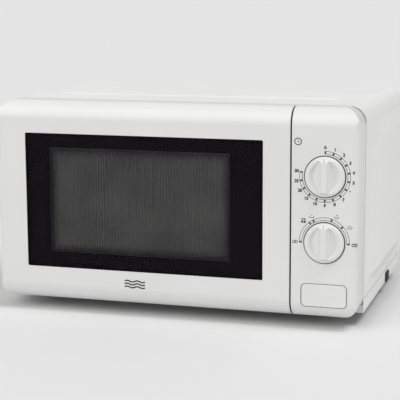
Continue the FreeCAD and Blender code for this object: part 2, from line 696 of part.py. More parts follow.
def cooling():
    """The fan motor, its blade and shroud, and the duct that takes the air to the magnetron."""
    y1 = REAR_INSIDE - 1
    r = D["fan_radius"]
    outer = block((BAY_X - r - 6, BAY_X + r + 6), (y1 - 24, y1), (FAN_Z - r - 6, FAN_Z + r + 6))
    bore = rod("y", (BAY_X, FAN_Z), r + 2, y1 - 25, y1 + 1)
    spider = block((BAY_X - r - 4, BAY_X + r + 4), (y1 - 24, y1 - 21), (FAN_Z - 4, FAN_Z + 4))
    boss = rod("y", (BAY_X, FAN_Z), 14, y1 - 24, y1 - 21)
    shaft_hole = rod("y", (BAY_X, FAN_Z), 2.4, y1 - 30, y1 - 12)
    part("fan_shroud", cut(fuse(cut(outer, bore), spider, boss), shaft_hole))
    coil = block((BAY_X - 22, BAY_X + 22), (y1 - 46, y1 - 24), (FAN_Z - 20, FAN_Z + 24))
    motor_hole = rod("y", (BAY_X, FAN_Z), 2.4, y1 - 50, y1 - 20)
    part("fan_motor", cut(coil, motor_hole))
    hub = rod("y", (BAY_X, FAN_Z), 9, y1 - 18, y1 - 6)
    shaft = rod("y", (BAY_X, FAN_Z), 2, y1 - 44, y1 - 14)
    blades = []
    for i in range(5):
        blade = doc.addObject("Part::Box", "blade")
        bind(blade, "Length", r)
        bind(blade, "Width", 20)
        bind(blade, "Height", 1.2)
        spin = Rotation(Vector(0, 1, 0), 72 * i)
        tilt = Rotation(Vector(1, 0, 0), 28)
        turn = spin.multiply(tilt)
        shift = turn.multVec(Vector(0, -10, 0))
        blade.Placement = Placement(Vector(0, 0, 0), turn)
        place(blade, BAY_X + shift.x, y1 - 12 + shift.y, FAN_Z + shift.z)
        blades.append(blade)
    sweep = rod("y", (BAY_X, FAN_Z), r, y1 - 18, y1 - 6)
    part("fan_blade", fuse(hub, shaft, common(fuse(*blades), sweep)))
    x0 = GUIDE_RIGHT + 2
    duct = block((x0, x0 + 48), (MAGNETRON_Y + 41, y1 - 50), (MAGNETRON_Z - 30, MAGNETRON_Z + 30))
    way = block((x0 + 1.5, x0 + 46.5), (MAGNETRON_Y + 40, y1 - 49),
                (MAGNETRON_Z - 28.5, MAGNETRON_Z + 28.5))
    part("air_duct", cut(duct, way))


def high_voltage():
    """The transformer, capacitor and diode that feed the magnetron."""
    x, y, z = BAY_X + 6, MAGNETRON_Y + 4, BASE_TOP
    tall = D["transformer_height"]
    core = block((x - 42, x + 42), (y - 24, y + 24), (z, z + tall))
    windows = [block((x - 28, x - 10), (y - 25, y + 25), (z + 14, z + tall - 14)),
               block((x + 10, x + 28), (y - 25, y + 25), (z + 14, z + tall - 14))]
    part("transformer_core", cut(core, *windows))
    coils = []
    for low, high in ((z + 15, z + tall / 2 - 1), (z + tall / 2 + 1, z + tall - 15)):
        around = block((x - 27, x + 27), (y - 38, y + 38), (low, high))
        through = block((x - 10.2, x + 10.2), (y - 24.2, y + 24.2), (low - 1, high + 1))
        coils.append(cut(around, through))
    part("transformer_windings", gather(*coils))
    y2 = y + 78
    can = slab("YZ", rounded((y2 - 28, z + 2), (y2 + 28, z + 38), 16), BAY_LEFT + 14, BAY_LEFT + 94)
    tabs = [block((BAY_LEFT + 94, BAY_LEFT + 103), (y2 + dy, y2 + dy + 6), (z + 18, z + 18.8))
            for dy in (-18, 12)]
    part("hv_capacitor", fuse(can, *tabs))
    strap = cut(slab("YZ", rounded((y2 - 29, z), (y2 + 29, z + 39), 17), BAY_LEFT + 40, BAY_LEFT + 54),
                slab("YZ", rounded((y2 - 28, z + 2), (y2 + 28, z + 38), 16), BAY_LEFT + 39, BAY_LEFT + 55))
    part("capacitor_clamp", strap)
    part("hv_diode", rod("x", (y2, z + 45), 3.5, BAY_LEFT + 60, BAY_LEFT + 84))


def small_electrics():
    """The filter board, cut-out, lamp and their parts in the bay."""
    top = COVER_TOP - 8
    board = block((BAY_LEFT + 12, BAY_LEFT + 92), (REAR_INSIDE - 62, REAR_INSIDE - 8), (top - 22, top - 20))
    choke = rod("z", (BAY_LEFT + 34, REAR_INSIDE - 34), 11, top - 20, top - 6)
    fuse_holder = block((BAY_LEFT + 56, BAY_LEFT + 84), (REAR_INSIDE - 52, REAR_INSIDE - 42),
                        (top - 20, top - 10))
    part("noise_filter_board", fuse(board, choke, fuse_holder))
    disc = rod("x", (MAGNETRON_Y - 62, MAGNETRON_Z), 8, BAY_LEFT, BAY_LEFT + 8)
    ears = block((BAY_LEFT, BAY_LEFT + 1.5), (MAGNETRON_Y - 74, MAGNETRON_Y - 50),
                 (MAGNETRON_Z - 5, MAGNETRON_Z + 5))
    part("thermal_cutout", fuse(disc, ears))
    base = rod("x", (LAMP_Y, LAMP_Z), 12, BAY_LEFT + 24, BAY_LEFT + 34)
    bulb = rod("x", (LAMP_Y, LAMP_Z), 9, BAY_LEFT + 8, BAY_LEFT + 24)
    part("cavity_lamp", fuse(base, bulb))
    arm = block((BAY_LEFT, BAY_LEFT + 36), (LAMP_Y - 16, LAMP_Y + 16), (LAMP_Z - 16, LAMP_Z + 16))
    hollow = rod("x", (LAMP_Y, LAMP_Z), 12, BAY_LEFT - 1, BAY_LEFT + 34)
    part("lamp_housing", cut(arm, hollow))


# ---------------------------------------------------------------- moulded front
def front_moulding(inset, back):
    """The outline shared by the door and the control panel, shrunk inwards by inset."""
    low, high = BOTTOM + inset, TOP - inset
    face = slab("XZ", rounded((LEFT + inset, low), (RIGHT - inset, high), D["corner_round"] - inset),
                FRONT + inset, back)
    side = slab("YZ", rounded((FRONT + inset, low), (BACK, high), D["top_round"] - inset),
                LEFT - 1, RIGHT + 1)
    plan = slab("XY", rounded((LEFT + inset, FRONT + inset), (RIGHT - inset, BACK),
                              max_round(D["side_round"], inset)), BOTTOM - 1, TOP + 1)
    return common(face, side, plan)


def max_round(radius, inset):
    """A radius shrunk by inset, kept above half a millimetre."""
    return radius - inset if float(radius) - float(inset) > 0.5 else Size(0.5, "0.5")


def seam_edge(x):
    """Finds the edges of the seam's wall at x, but not those along its back."""

    def chosen(edge):
        box = edge.BoundBox
        return (abs(box.XMin - float(x)) < 0.01 and abs(box.XMax - float(x)) < 0.01
                and box.YMin < float(FRONT_BACK) - 1)

    return chosen


def hook_bottoms():
    """The lowest point of each hook's arm."""
    return [HOOK_Z - D["hook_spread"] / 2 - D["hook_tall"] / 2,
            HOOK_Z + D["hook_spread"] / 2 - D["hook_tall"] / 2]


def door_front_panel():
    """The white moulded door: hollow behind, with a window opening, hinge bosses and slots."""
    side = block((LEFT - 1, DOOR_RIGHT), (FRONT - 1, BACK), (BOTTOM - 1, TOP + 1))
    shell = soften_solid(common(front_moulding(0, FRONT_BACK), side), D["edge_soft"],
                         seam_edge(DOOR_RIGHT))
    inside = block((LEFT - 1, DOOR_RIGHT - D["plastic"]), (FRONT - 1, BACK + 1),
                   (BOTTOM - 1, TOP + 1))
    hollow = common(front_moulding(D["plastic"], FRONT_BACK + 1), inside)
    rim = block((WINDOW_X0 - 12, WINDOW_X1 + 12), (FRONT + 1, GLASS_BACK + 1.5),
                (WINDOW_Z0 - 12, WINDOW_Z1 + 12))
    bosses = []
    for z in (UPPER_HINGE_Z, LOWER_HINGE_Z):
        low = z - D["pin_length"] / 2 - 3
        high = z + D["pin_length"] / 2 + 3
        bosses.append(block((LEFT + 1.5, HINGE_X + 6), (HINGE_Y - 6, HINGE_Y + 6), (low, high)))
    peg = block((SPRING_X - 3, DOOR_RIGHT - 1), (FRONT_BACK - 16, FRONT_BACK - 10),
                (SPRING_LOW - 3, SPRING_LOW))
    body = fuse(cut(shell, hollow), rim, peg, *bosses)
    opening = slab("XZ", rounded((WINDOW_X0, WINDOW_Z0), (WINDOW_X1, WINDOW_Z1), D["window_round"]),
                   FRONT - 1, FRONT + 20)
    lap = D["glass_lap"]
    rebate = block((WINDOW_X0 - lap, WINDOW_X1 + lap), (FRONT + D["glass_lip"], FRONT + 20),
                   (WINDOW_Z0 - lap, WINDOW_Z1 + lap))
    cuts = [opening, rebate]
    for z in (UPPER_HINGE_Z, LOWER_HINGE_Z):
        slot = D["hinge_slot"] / 2
        cuts.append(block((LEFT - 1, HINGE_X + 15), (HINGE_Y - 8, FRONT_BACK + 1),
                          (z - slot, z + slot)))
        half = D["pin_length"] / 2 + D["clearance"]
        cuts.append(rod("z", (HINGE_X, HINGE_Y), D["pin_radius"] + D["running"], z - half, z + half))
    part("door_front_panel", cut(body, *cuts))


GLASS_BACK = FRONT + D["glass_lip"] + D["glass"]


def door_window():
    """The outer glass, the perforated steel screen and the clear inner film."""
    lap = D["glass_lap"] - D["clearance"] / 2
    x = (WINDOW_X0 - lap, WINDOW_X1 + lap)
    z = (WINDOW_Z0 - lap, WINDOW_Z1 + lap)
    part("window_glass", block(x, (FRONT + D["glass_lip"], GLASS_BACK), z))
    border = D["screen_border"]
    y = SCREEN_Y
    steel = D["door_steel"]
    outer = (WINDOW_X0 - border, WINDOW_X1 + border, WINDOW_Z0 - border, WINDOW_Z1 + border)
    tray = block(outer[:2], (y, FRONT_BACK - D["choke_cover"]), outer[2:])
    deep = block((outer[0] + steel, outer[1] - steel), (y + steel, FRONT_BACK),
                 (outer[2] + steel, outer[3] - steel))
    part("door_screen", cut(tray, deep))
    film = y + steel
    part("window_film", block((outer[0] + 8, outer[1] - 8), (film, film + D["film"]),
                              (outer[2] + 8, outer[3] - 8)))


SCREEN_Y = GLASS_BACK + D["screen_gap"]


def choke_cover():
    """The dark moulded frame on the door's inner side, with slots for the two hooks."""
    gap = D["clearance"]
    wall = D["plastic"] + gap
    y0 = FRONT_BACK - D["choke_cover"]
    side = block((HINGE_X + 16, DOOR_RIGHT - wall), (y0, FRONT_BACK), (BOTTOM + wall, TOP - wall))
    frame = common(front_moulding(wall, FRONT_BACK), side)
    border = D["screen_border"]
    x = (WINDOW_X0 - border + 12, WINDOW_X1 + border - 12)
    z = (WINDOW_Z0 - border + 12, WINDOW_Z1 + border - 12)
    lip = block((x[0] - 1.5, x[1] + 1.5), (SCREEN_Y + 1.5, FRONT_BACK), (z[0] - 1.5, z[1] + 1.5))
    view = block(x, (SCREEN_Y, FRONT_BACK + 1), z)
    slots = [block((HOOK_X - 2.5, HOOK_X + D["hook_steel"] + 2.5), (y0 - 1, FRONT_BACK + 1),
                   (z_low - D["hook_nose"] - 2, z_low + D["hook_tall"] + D["hook_lift"] + 2))
             for z_low in hook_bottoms()]
    part("choke_cover", cut(fuse(frame, lip), view, *slots))


SPRING_X = HOOK_X + D["hook_steel"] + 3.6
SPRING_LOW = HOOK_Z - 34
SPRING_TOP = SPRING_LOW + 28


def latch_hooks():
    """The sprung key inside the door's edge, with two hooks that reach through the front plate."""
    body = new_body("hooks")
    x0 = HOOK_X
    x1 = HOOK_X + D["hook_steel"]
    low, high = hook_bottoms()
    spine = (FRONT_BACK - 18, FRONT_BACK - 8)
    tip = FRONT_BACK + D["hook_reach"]
    tall = D["hook_tall"]
    nose = D["hook_nose"]
    pad(body, "YZ", polygon((spine[0], low), (spine[1], low), (spine[1], high + tall),
                            (spine[0], high + tall)), x0, x1)
    for z in (low, high):
        pad(body, "YZ", polygon((spine[1] - 2, z), (tip - 8, z), (tip - 8, z - nose),
                                (tip - 5, z - nose), (tip, z + tall / 2), (tip - 4, z + tall),
                                (spine[1] - 2, z + tall)), x0, x1)
    pad(body, "YZ", polygon((spine[0], SPRING_TOP), (spine[1], SPRING_TOP),
                            (spine[1], SPRING_TOP + 2.5), (spine[0], SPRING_TOP + 2.5)),
        x1, SPRING_X + 3)
    part("latch_hooks", body)


def latch_spring():
    """The coil spring that draws the latch key down."""
    coils = 9
    wire = 0.45
    length = float(SPRING_TOP - SPRING_LOW) - 2 * wire
    coil_radius = 2.6
    helix = Part.makeHelix(length / coils, length, coil_radius)
    circle = Part.Circle(Vector(coil_radius, 0, 0), Vector(0, 1, 0), wire)
    profile = Part.Wire([circle.toShape()])
    sweep = Part.Wire(helix.Edges).makePipeShell([profile], True, True)
    thing = doc.addObject("Part::Feature", "spring")
    thing.Shape = sweep
    place(thing, SPRING_X, FRONT_BACK - 13, SPRING_LOW + wire)
    part("latch_spring", thing)


def control_panel():
    """The white moulded control panel with two knob wells and the button's opening."""
    side = block((PANEL_LEFT, RIGHT + 1), (FRONT - 1, BACK), (BOTTOM - 1, TOP + 1))
    shell = soften_solid(common(front_moulding(0, FRONT_BACK), side), D["edge_soft"],
                         seam_edge(PANEL_LEFT))
    inside = block((PANEL_LEFT + D["plastic"], RIGHT + 1), (FRONT - 1, BACK + 1),
                   (BOTTOM - 1, TOP + 1))
    hollow = common(front_moulding(D["plastic"], FRONT_BACK + 1), inside)
    t = D["plastic"]
    cups, wells, holes = [], [], []
    for z in (TIMER_Z, POWER_Z):
        cups.append(rod("y", (KNOB_X, z), D["well_radius"] + t, FRONT + 1, WELL_FLOOR + t))
        wells.append(rod("y", (KNOB_X, z), D["well_radius"], FRONT - 1, WELL_FLOOR))
        holes.append(rod("y", (KNOB_X, z), D["shaft_radius"] + 1, FRONT, WELL_FLOOR + t + 1))
    half_opening = D["button_width"] / 2 + D["button_gap"]
    x = (KNOB_X - half_opening, KNOB_X + half_opening)
    half_opening = D["button_tall"] / 2 + D["button_gap"]
    z = (BUTTON_Z - half_opening, BUTTON_Z + half_opening)
    round_out = D["button_round"] + D["button_gap"]
    collar = slab("XZ", rounded((x[0] - t, z[0] - t), (x[1] + t, z[1] + t), round_out + t),
                  FRONT + 1, FRONT + 14)
    opening = slab("XZ", rounded((x[0], z[0]), (x[1], z[1]), round_out), FRONT - 1, FRONT + 15)
    kept = common(fuse(collar, *cups), front_moulding(t / 2, FRONT_BACK))
    posts = [block((x_post - 3, x_post + 3), (FRONT + 1.5, FRONT_BACK), (z_post - 3, z_post + 3))
             for x_post, z_post in ((PANEL_LEFT + 8, BOTTOM + 60), (PANEL_LEFT + 8, TOP - 18),
                                    (RIGHT - 9, TOP - 18))]
    body = fuse(cut(shell, hollow), kept, *posts)
    part("control_panel", cut(body, opening, *wells, *holes))


WELL_FLOOR = FRONT + D["well_depth"]


# ---------------------------------------------------------------- controls
def knob(label, z):
    """A round knob with a rounded rim and a grip bar between two scoops."""
    r = D["well_radius"] - D["knob_gap"]
    back = WELL_FLOOR - 0.6
    front = FRONT - D["knob_reach"]
    rim = FRONT - D["knob_rim"]
    disc = rod("y", (KNOB_X, z), r, rim, back)
    bar = common(block((KNOB_X - D["grip_width"] / 2 - 6, KNOB_X + D["grip_width"] / 2 + 6),
                       (front, FRONT), (z - r, z + r)),
                 rod("y", (KNOB_X, z), r - 6, front, FRONT, r))
    rounded_disc = soften_solid(disc, 2.5, lambda e: abs(e.BoundBox.YMax - float(rim)) < 0.01)
    dish = rod("y", (KNOB_X, z), r - 1.5, rim - 3, FRONT + 4, r - 14)
    scoops = []
    for way in (-1, 1):
        x = KNOB_X + way * (D["grip_width"] / 2 + D["scoop_offset"])
        scoop = doc.addObject("Part::Cylinder", "scoop")
        bind(scoop, "Radius", D["scoop_radius"])
        bind(scoop, "Height", 2 * r)
        place(scoop, x, FRONT - D["scoop_radius"], z - r)
        scoops.append(common(scoop, fuse(dish, rod("y", (KNOB_X, z), r + 4, front - 20, rim - 2.9))))
    bore = rod("y", (KNOB_X, z), D["shaft_radius"], back - 8, back + 1)
    part(label, cut(fuse(rounded_disc, bar), *scoops, bore))


def knobs_and_shafts():
    """Both knobs, their shafts, and the two switch units behind the panel."""
    for name, z in (("timer", TIMER_Z), ("power", POWER_Z)):
        knob(name + "_knob", z)
        back = WELL_FLOOR - 0.6
        y0 = WELL_FLOOR + D["plastic"] + 1
        shaft = rod("y", (KNOB_X, z), D["shaft_radius"], back - 8, y0 + 12)
        part(name + "_shaft", shaft)
    bore_radius = D["shaft_radius"] + D["running"]
    y0 = WELL_FLOOR + D["plastic"] + 1
    case = block((KNOB_X - 24, KNOB_X + 24), (y0, y0 + 40), (TIMER_Z - 26, TIMER_Z + 26))
    bell = rod("y", (KNOB_X, TIMER_Z), 20, y0 + 40, y0 + 50)
    bore = rod("y", (KNOB_X, TIMER_Z), bore_radius, y0 - 1, y0 + 13)
    part("timer_unit", cut(fuse(case, bell), bore))
    case = block((KNOB_X - 20, KNOB_X + 20), (y0, y0 + 28), (POWER_Z - 20, POWER_Z + 20))
    tabs = [block((KNOB_X + dx, KNOB_X + dx + 4), (y0 + 28, y0 + 37), (POWER_Z - 3, POWER_Z + 3))
            for dx in (-14, 10)]
    bore = rod("y", (KNOB_X, POWER_Z), bore_radius, y0 - 1, y0 + 13)
    part("power_selector", cut(fuse(case, *tabs), bore))


BUTTON_BACK = FRONT + 12
SEAT_Y = FRONT + 29
LEVER_Y = FRONT_BACK + 11.5
LEVER_Z = HOOK_Z - D["hook_spread"] / 2 - D["hook_tall"] / 2 - D["hook_nose"] - 2
RAM_Z = BUTTON_Z + 7


def door_button():
    """The door-opening button, with a ram behind it, three raised marks and its return spring."""
    half_wide = D["button_width"] / 2
    half_tall = D["button_tall"] / 2
    body = new_body("button")
    pad(body, "XZ", rounded((KNOB_X - half_wide, BUTTON_Z - half_tall),
                            (KNOB_X + half_wide, BUTTON_Z + half_tall), D["button_round"]),
        FRONT, BUTTON_BACK)
    soften(body, 1.2, lambda e: abs(e.BoundBox.YMax - float(FRONT)) < 0.01)
    face = 4
    hollow = slab("XZ", rounded((KNOB_X - half_wide + 3, BUTTON_Z - half_tall + 3),
                                (KNOB_X + half_wide - 3, BUTTON_Z + half_tall - 3), 2.5),
                  FRONT + face, BUTTON_BACK + 1)
    ram_x = KNOB_X - 16
    ram = block((ram_x - 4, ram_x + 4), (FRONT + 3, LEVER_Y - 3.5), (RAM_Z - 3, RAM_Z + 3))
    marks = []
    for i in (-1, 0, 1):
        marks.append(rod("y", (KNOB_X + 1.5 + i * 8.5, BUTTON_Z - 1), 1.6, FRONT - 0.4, FRONT + 1))
    part("door_button", fuse(cut(body, hollow), ram, *marks))
    coils = 9
    wire = 0.55
    coil_radius = 3.2
    length = float(SEAT_Y - FRONT) - face - 2 * wire - 0.1
    helix = Part.makeHelix(length / coils, length, coil_radius)
    circle = Part.Circle(Vector(coil_radius, 0, 0), Vector(0, 1, 0), wire)
    profile = Part.Wire([circle.toShape()])
    thing = doc.addObject("Part::Feature", "spring")
    thing.Shape = Part.Wire(helix.Edges).makePipeShell([profile], True, True)
    thing.Placement = Placement(Vector(0, 0, 0), TURNS["y"])
    place(thing, KNOB_X + 10, FRONT + face + wire, BUTTON_Z)
    part("button_spring", thing)


def release_lever():
    """The bell crank that the button turns to lift the hooks, and its pivot pin."""
    x0 = HOOK_X - 4
    x1 = KNOB_X - 8
    pivot = rod("x", (LEVER_Y, LEVER_Z), 3.6, x0, x1)
    arm = block((KNOB_X - 24, x1), (LEVER_Y - 2.5, LEVER_Y + 2.5), (RAM_Z - 6, LEVER_Z))
    finger = block((x0, x0 + 12), (LEVER_Y, LEVER_Y + 14), (LEVER_Z - 3, LEVER_Z + 1))
    bore = rod("x", (LEVER_Y, LEVER_Z), 2 + D["running"], x0 - 1, x1 + 1)
    part("release_lever", cut(fuse(pivot, arm, finger), bore))
    part("lever_pin", rod("x", (LEVER_Y, LEVER_Z), 2, x0 - 5, x1 + 5))


def latch_board():
    """The moulded board behind the front plate that carries the three door switches."""
    x0 = HOOK_X + 10
    low, high = hook_bottoms()
    z = (LEVER_Z - 12, high + 34)
    web = block((x0, x0 + 3), (CAVITY_Y0, CAVITY_Y0 + 46), z)
    foot = block((x0 - 3, x0 + 8), (CAVITY_Y0, CAVITY_Y0 + 3), z)
    cheek = block((HOOK_X - 9, HOOK_X - 6), (CAVITY_Y0, CAVITY_Y0 + 17), (LEVER_Z - 8, LEVER_Z + 8))
    far = block((KNOB_X - 7, KNOB_X - 4), (CAVITY_Y0, CAVITY_Y0 + 17), (LEVER_Z - 8, LEVER_Z + 8))
    rail = block((HOOK_X - 9, KNOB_X - 4), (CAVITY_Y0 + 14, CAVITY_Y0 + 17), (LEVER_Z - 12, LEVER_Z - 8))
    down = block((KNOB_X - 7, KNOB_X + 18), (CAVITY_Y0 + 14, CAVITY_Y0 + 17),
                 (BUTTON_Z - 8, LEVER_Z - 4))
    reach = block((KNOB_X + 15, KNOB_X + 18), (SEAT_Y, CAVITY_Y0 + 17), (BUTTON_Z - 8, BUTTON_Z + 8))
    seat = block((KNOB_X + 2, KNOB_X + 18), (SEAT_Y, SEAT_Y + 3), (BUTTON_Z - 8, BUTTON_Z + 8))
    holes = [rod("x", (LEVER_Y, LEVER_Z), 2, HOOK_X - 12, KNOB_X + 2),
             block((x0 - 4, x0 + 9), (LEVER_Y - 5.5, LEVER_Y + 5.5), (LEVER_Z - 5.5, LEVER_Z + 5.5))]
    part("latch_board", cut(fuse(web, foot, cheek, far, rail, down, reach, seat), *holes))
    switches, names = [], ("lower", "middle", "upper")
    for name, z_switch in zip(names, (low + 4, (low + high) / 2 + 4, high + 4)):
        y0 = FRONT_BACK + D["hook_reach"] + 5
        case = block((HOOK_X - 2, x0), (y0, y0 + 15), (z_switch - 14, z_switch + 14))
        bore = rod("y", (HOOK_X + 1.5, z_switch), 1.6 + D["running"], y0 - 1, y0 + 6)
        switches.append(cut(case, bore))
        part(name + "_switch_plunger", rod("y", (HOOK_X + 1.5, z_switch), 1.6, y0 - 3, y0 + 3.5))
    part("door_switches", gather(*switches))


def hinges():
    """Two steel brackets with tongues into the door, and the pins that the door turns on."""
    brackets, pins = [], []
    for z in (UPPER_HINGE_Z, LOWER_HINGE_Z):
        half = D["hinge_steel"] / 2
        knuckle = rod("z", (HINGE_X, HINGE_Y), 5, z - half, z + half)
        tongue = block((HINGE_X - 1, HINGE_X + 12), (HINGE_Y, CAVITY_Y0 + 2), (z - half, z + half))
        flange = block((HINGE_X - 0.5, CAVITY_X0 - 3), (CAVITY_Y0, CAVITY_Y0 + 2), (z - 10, z + 10))
        bore = rod("z", (HINGE_X, HINGE_Y), D["pin_radius"], z - half - 1, z + half + 1)
        brackets.append(cut(fuse(knuckle, tongue, flange), bore))
        length = D["pin_length"] / 2
        pins.append(rod("z", (HINGE_X, HINGE_Y), D["pin_radius"], z - length, z + length))
    part("hinge_brackets", gather(*brackets))
    part("hinge_pins", gather(*pins))


# ---------------------------------------------------------------- making, checking and writing
for make in (outer_cover, cover_screws, base_plate, feet, rear_panel, cord_gland, edge_bumper,
             front_plate, cavity, waveguide_cover, turntable_motor, turntable, roller_ring,
             waveguide, magnetron, cooling, high_voltage, small_electrics, door_front_panel,
             door_window, choke_cover, latch_hooks, latch_spring, control_panel,
             knobs_and_shafts, door_button, release_lever, latch_board, hinges):
    make()
doc.recompute()

faults = []
for thing in doc.Objects:
    if "Invalid" in thing.State or "Error" in thing.State:
        faults.append("%s (%s) is %s" % (thing.Label, thing.Name, thing.State))
for label, thing in made.items():
    if thing.Shape.isNull() or not thing.Shape.isValid() or not thing.Shape.Solids:
        faults.append(label + " has no valid solid")
if faults:
    raise RuntimeError("; ".join(faults))

os.makedirs("parts", exist_ok=True)
for label, thing in made.items():
    thing.Shape.exportStep(os.path.join("parts", label + ".step"))
print("%d nodes written" % len(made))
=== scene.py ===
"""Looks for a counter-top microwave oven: finishes, printed dials, window, springs, studio."""
import json
import math
import bmesh
import bpy
from mathutils import Matrix, Vector


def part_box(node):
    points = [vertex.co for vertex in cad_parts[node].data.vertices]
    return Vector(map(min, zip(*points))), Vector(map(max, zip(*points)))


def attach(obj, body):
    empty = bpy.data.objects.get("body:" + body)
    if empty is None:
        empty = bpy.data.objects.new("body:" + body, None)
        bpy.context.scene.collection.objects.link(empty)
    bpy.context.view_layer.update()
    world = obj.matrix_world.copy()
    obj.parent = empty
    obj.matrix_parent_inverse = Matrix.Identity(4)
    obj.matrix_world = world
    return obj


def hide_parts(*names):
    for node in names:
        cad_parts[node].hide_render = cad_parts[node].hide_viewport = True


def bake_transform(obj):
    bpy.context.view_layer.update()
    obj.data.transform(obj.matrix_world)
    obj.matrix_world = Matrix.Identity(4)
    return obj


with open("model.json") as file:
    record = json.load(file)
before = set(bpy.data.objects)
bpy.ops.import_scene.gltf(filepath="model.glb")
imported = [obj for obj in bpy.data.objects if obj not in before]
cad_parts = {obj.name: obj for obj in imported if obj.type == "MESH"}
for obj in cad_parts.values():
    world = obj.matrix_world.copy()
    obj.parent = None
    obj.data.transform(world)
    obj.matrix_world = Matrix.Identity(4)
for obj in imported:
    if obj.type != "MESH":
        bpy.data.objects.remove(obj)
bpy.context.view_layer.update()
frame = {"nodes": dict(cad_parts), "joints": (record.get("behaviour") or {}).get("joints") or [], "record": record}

MM = 0.001
TAU = 2 * math.pi


# ---------------------------------------------------------------- places, from the frame
def joint_place(name):
    """A point on a joint's axis, in metres."""
    joint = [j for j in frame["joints"] if j["name"] == name][0]
    return Vector(joint["pos_m"])


DOOR_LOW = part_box("door_front_panel")[0]
GLASS_LOW, GLASS_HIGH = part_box("window_glass")
SCREEN_LOW, SCREEN_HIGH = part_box("door_screen")
FACE_Y = DOOR_LOW.y
TIMER = joint_place("timer_turn")
POWER = joint_place("power_turn")
LEFT = DOOR_LOW.x
BASE = DOOR_LOW.z


# ---------------------------------------------------------------- materials
MOTTLE_START, MOTTLE_END = 0.35, 0.65       # the part of a noise's range that is spread out
SHADE_SAMPLES = 8


def shader_of(material):
    """The material's one principled shader."""
    return material.node_tree.nodes["Principled BSDF"]


def new_material(name, colour, roughness, metallic=0.0, **sockets):
    """A principled material, with constants set on the shader's own sockets."""
    material = bpy.data.materials.new(name)
    material.use_nodes = True
    shader = shader_of(material)
    shader.inputs["Base Color"].default_value = (*colour, 1)
    shader.inputs["Roughness"].default_value = roughness
    shader.inputs["Metallic"].default_value = metallic
    for key, value in sockets.items():
        shader.inputs[key.replace("_", " ")].default_value = value
    return material


def node(material, kind, **inputs):
    """A new shader node with its inputs set."""
    made = material.node_tree.nodes.new(kind)
    for key, value in inputs.items():
        made.inputs[key.replace("_", " ")].default_value = value
    return made


def link(material, source, output, target, socket):
    """Joins a node's output to another node's input."""
    material.node_tree.links.new(source.outputs[output], target.inputs[socket])


def coordinates(material, stretch=(1, 1, 1)):
    """Object coordinates, in metres, stretched along the axes."""
    place = node(material, "ShaderNodeTexCoord")
    mapping = node(material, "ShaderNodeMapping", Scale=stretch)
    link(material, place, "Object", mapping, "Vector")
    return mapping


def ramp_between(material, start, first, end, last):
    """A colour ramp from one colour at start to another at end."""
    ramp = node(material, "ShaderNodeValToRGB")
    for k, (position, colour) in enumerate(((start, first), (end, last))):
        ramp.color_ramp.elements[k].position = position
        ramp.color_ramp.elements[k].color = (*colour, 1)
    return ramp


def mottle(material, scale, low, high, detail=3.0):
    """Varies the base colour by a noise between low and high times the colour."""
    shader = shader_of(material)
    colour = shader.inputs["Base Color"].default_value[:3]
    mapping = coordinates(material)
    noise = node(material, "ShaderNodeTexNoise", Scale=scale, Detail=detail)
    link(material, mapping, "Vector", noise, "Vector")
    ramp = ramp_between(material, MOTTLE_START, [c * low for c in colour],
                        MOTTLE_END, [min(c * high, 1) for c in colour])
    link(material, noise, "Fac", ramp, "Fac")
    link(material, ramp, "Color", shader, "Base Color")


def vary_roughness(material, scale, low, high):
    """Varies the roughness by a noise between low and high."""
    shader = shader_of(material)
    noise = node(material, "ShaderNodeTexNoise", Scale=scale, Detail=4.0)
    link(material, coordinates(material), "Vector", noise, "Vector")
    spread = node(material, "ShaderNodeMapRange")
    spread.inputs["To Min"].default_value = low
    spread.inputs["To Max"].default_value = high
    link(material, noise, "Fac", spread, "Value")
    link(material, spread, "Result", shader, "Roughness")


def bump(material, scale, depth_mm, stretch=(1, 1, 1)):
    """A fine relief of the given depth."""
    noise = node(material, "ShaderNodeTexNoise", Scale=scale, Detail=2.0)
    link(material, coordinates(material, stretch), "Vector", noise, "Vector")
    relief = node(material, "ShaderNodeBump", Strength=1.0, Distance=depth_mm * MM)
    link(material, noise, "Fac", relief, "Height")
    link(material, relief, "Normal", shader_of(material), "Normal")


def darken_gaps(material, reach_mm, deepest, closed=0.12, open_air=0.5):
    """Paints shade into narrow gaps and creases: the base colour is darkened where ambient occlusion finds little
    free sky.

    A place with less of its sky free than closed gets the deepest painted shade, above open_air it keeps its own
    colour.
    """
    shader = shader_of(material)
    source = shader.inputs["Base Color"].links[0].from_socket
    # Painted shade: ambient occlusion darkens the base colour in gaps and creases.
    shade = node(material, "ShaderNodeAmbientOcclusion", Distance=reach_mm * MM)
    shade.samples = SHADE_SAMPLES
    ramp = ramp_between(material, closed, (deepest, deepest, deepest), open_air, (1, 1, 1))
    link(material, shade, "AO", ramp, "Fac")
    product = node(material, "ShaderNodeMixRGB", Fac=1.0)
    product.blend_type = "MULTIPLY"
    material.node_tree.links.new(source, product.inputs["Color1"])
    link(material, ramp, "Color", product, "Color2")
    link(material, product, "Color", shader, "Base Color")


def white_plastic():
    """Semi-gloss moulded plastic with a fine spark-eroded grain."""
    material = new_material("white_moulded_plastic", (0.71, 0.71, 0.695), 0.34, Coat_Weight=0.12,
                            Coat_Roughness=0.25)
    mottle(material, scale=9, low=0.985, high=1.01)
    # Painted shade: gaps round the knobs, the button and the seams are darkened to 0.06 of the colour within 7 mm.
    darken_gaps(material, reach_mm=7, deepest=0.06)
    bump(material, scale=2600, depth_mm=0.012)
    return material


def painted_steel():
    """White powder coat with a slight orange peel."""
    material = new_material("white_painted_steel", (0.83, 0.83, 0.82), 0.42)
    mottle(material, scale=5, low=0.98, high=1.01)
    # Painted shade: creases and recesses of the cabinet within 26 mm are darkened to half their colour.
    darken_gaps(material, reach_mm=26, deepest=0.5, closed=0.5, open_air=0.93)
    vary_roughness(material, scale=40, low=0.36, high=0.5)
    bump(material, scale=700, depth_mm=0.02)
    return material


def enamel():
    """Glossy vitreous enamel on the cavity and the front plate."""
    material = new_material("white_enamel", (0.72, 0.72, 0.69), 0.22, Coat_Weight=0.3)
    mottle(material, scale=14, low=0.95, high=1.02)
    bump(material, scale=350, depth_mm=0.03)
    return material


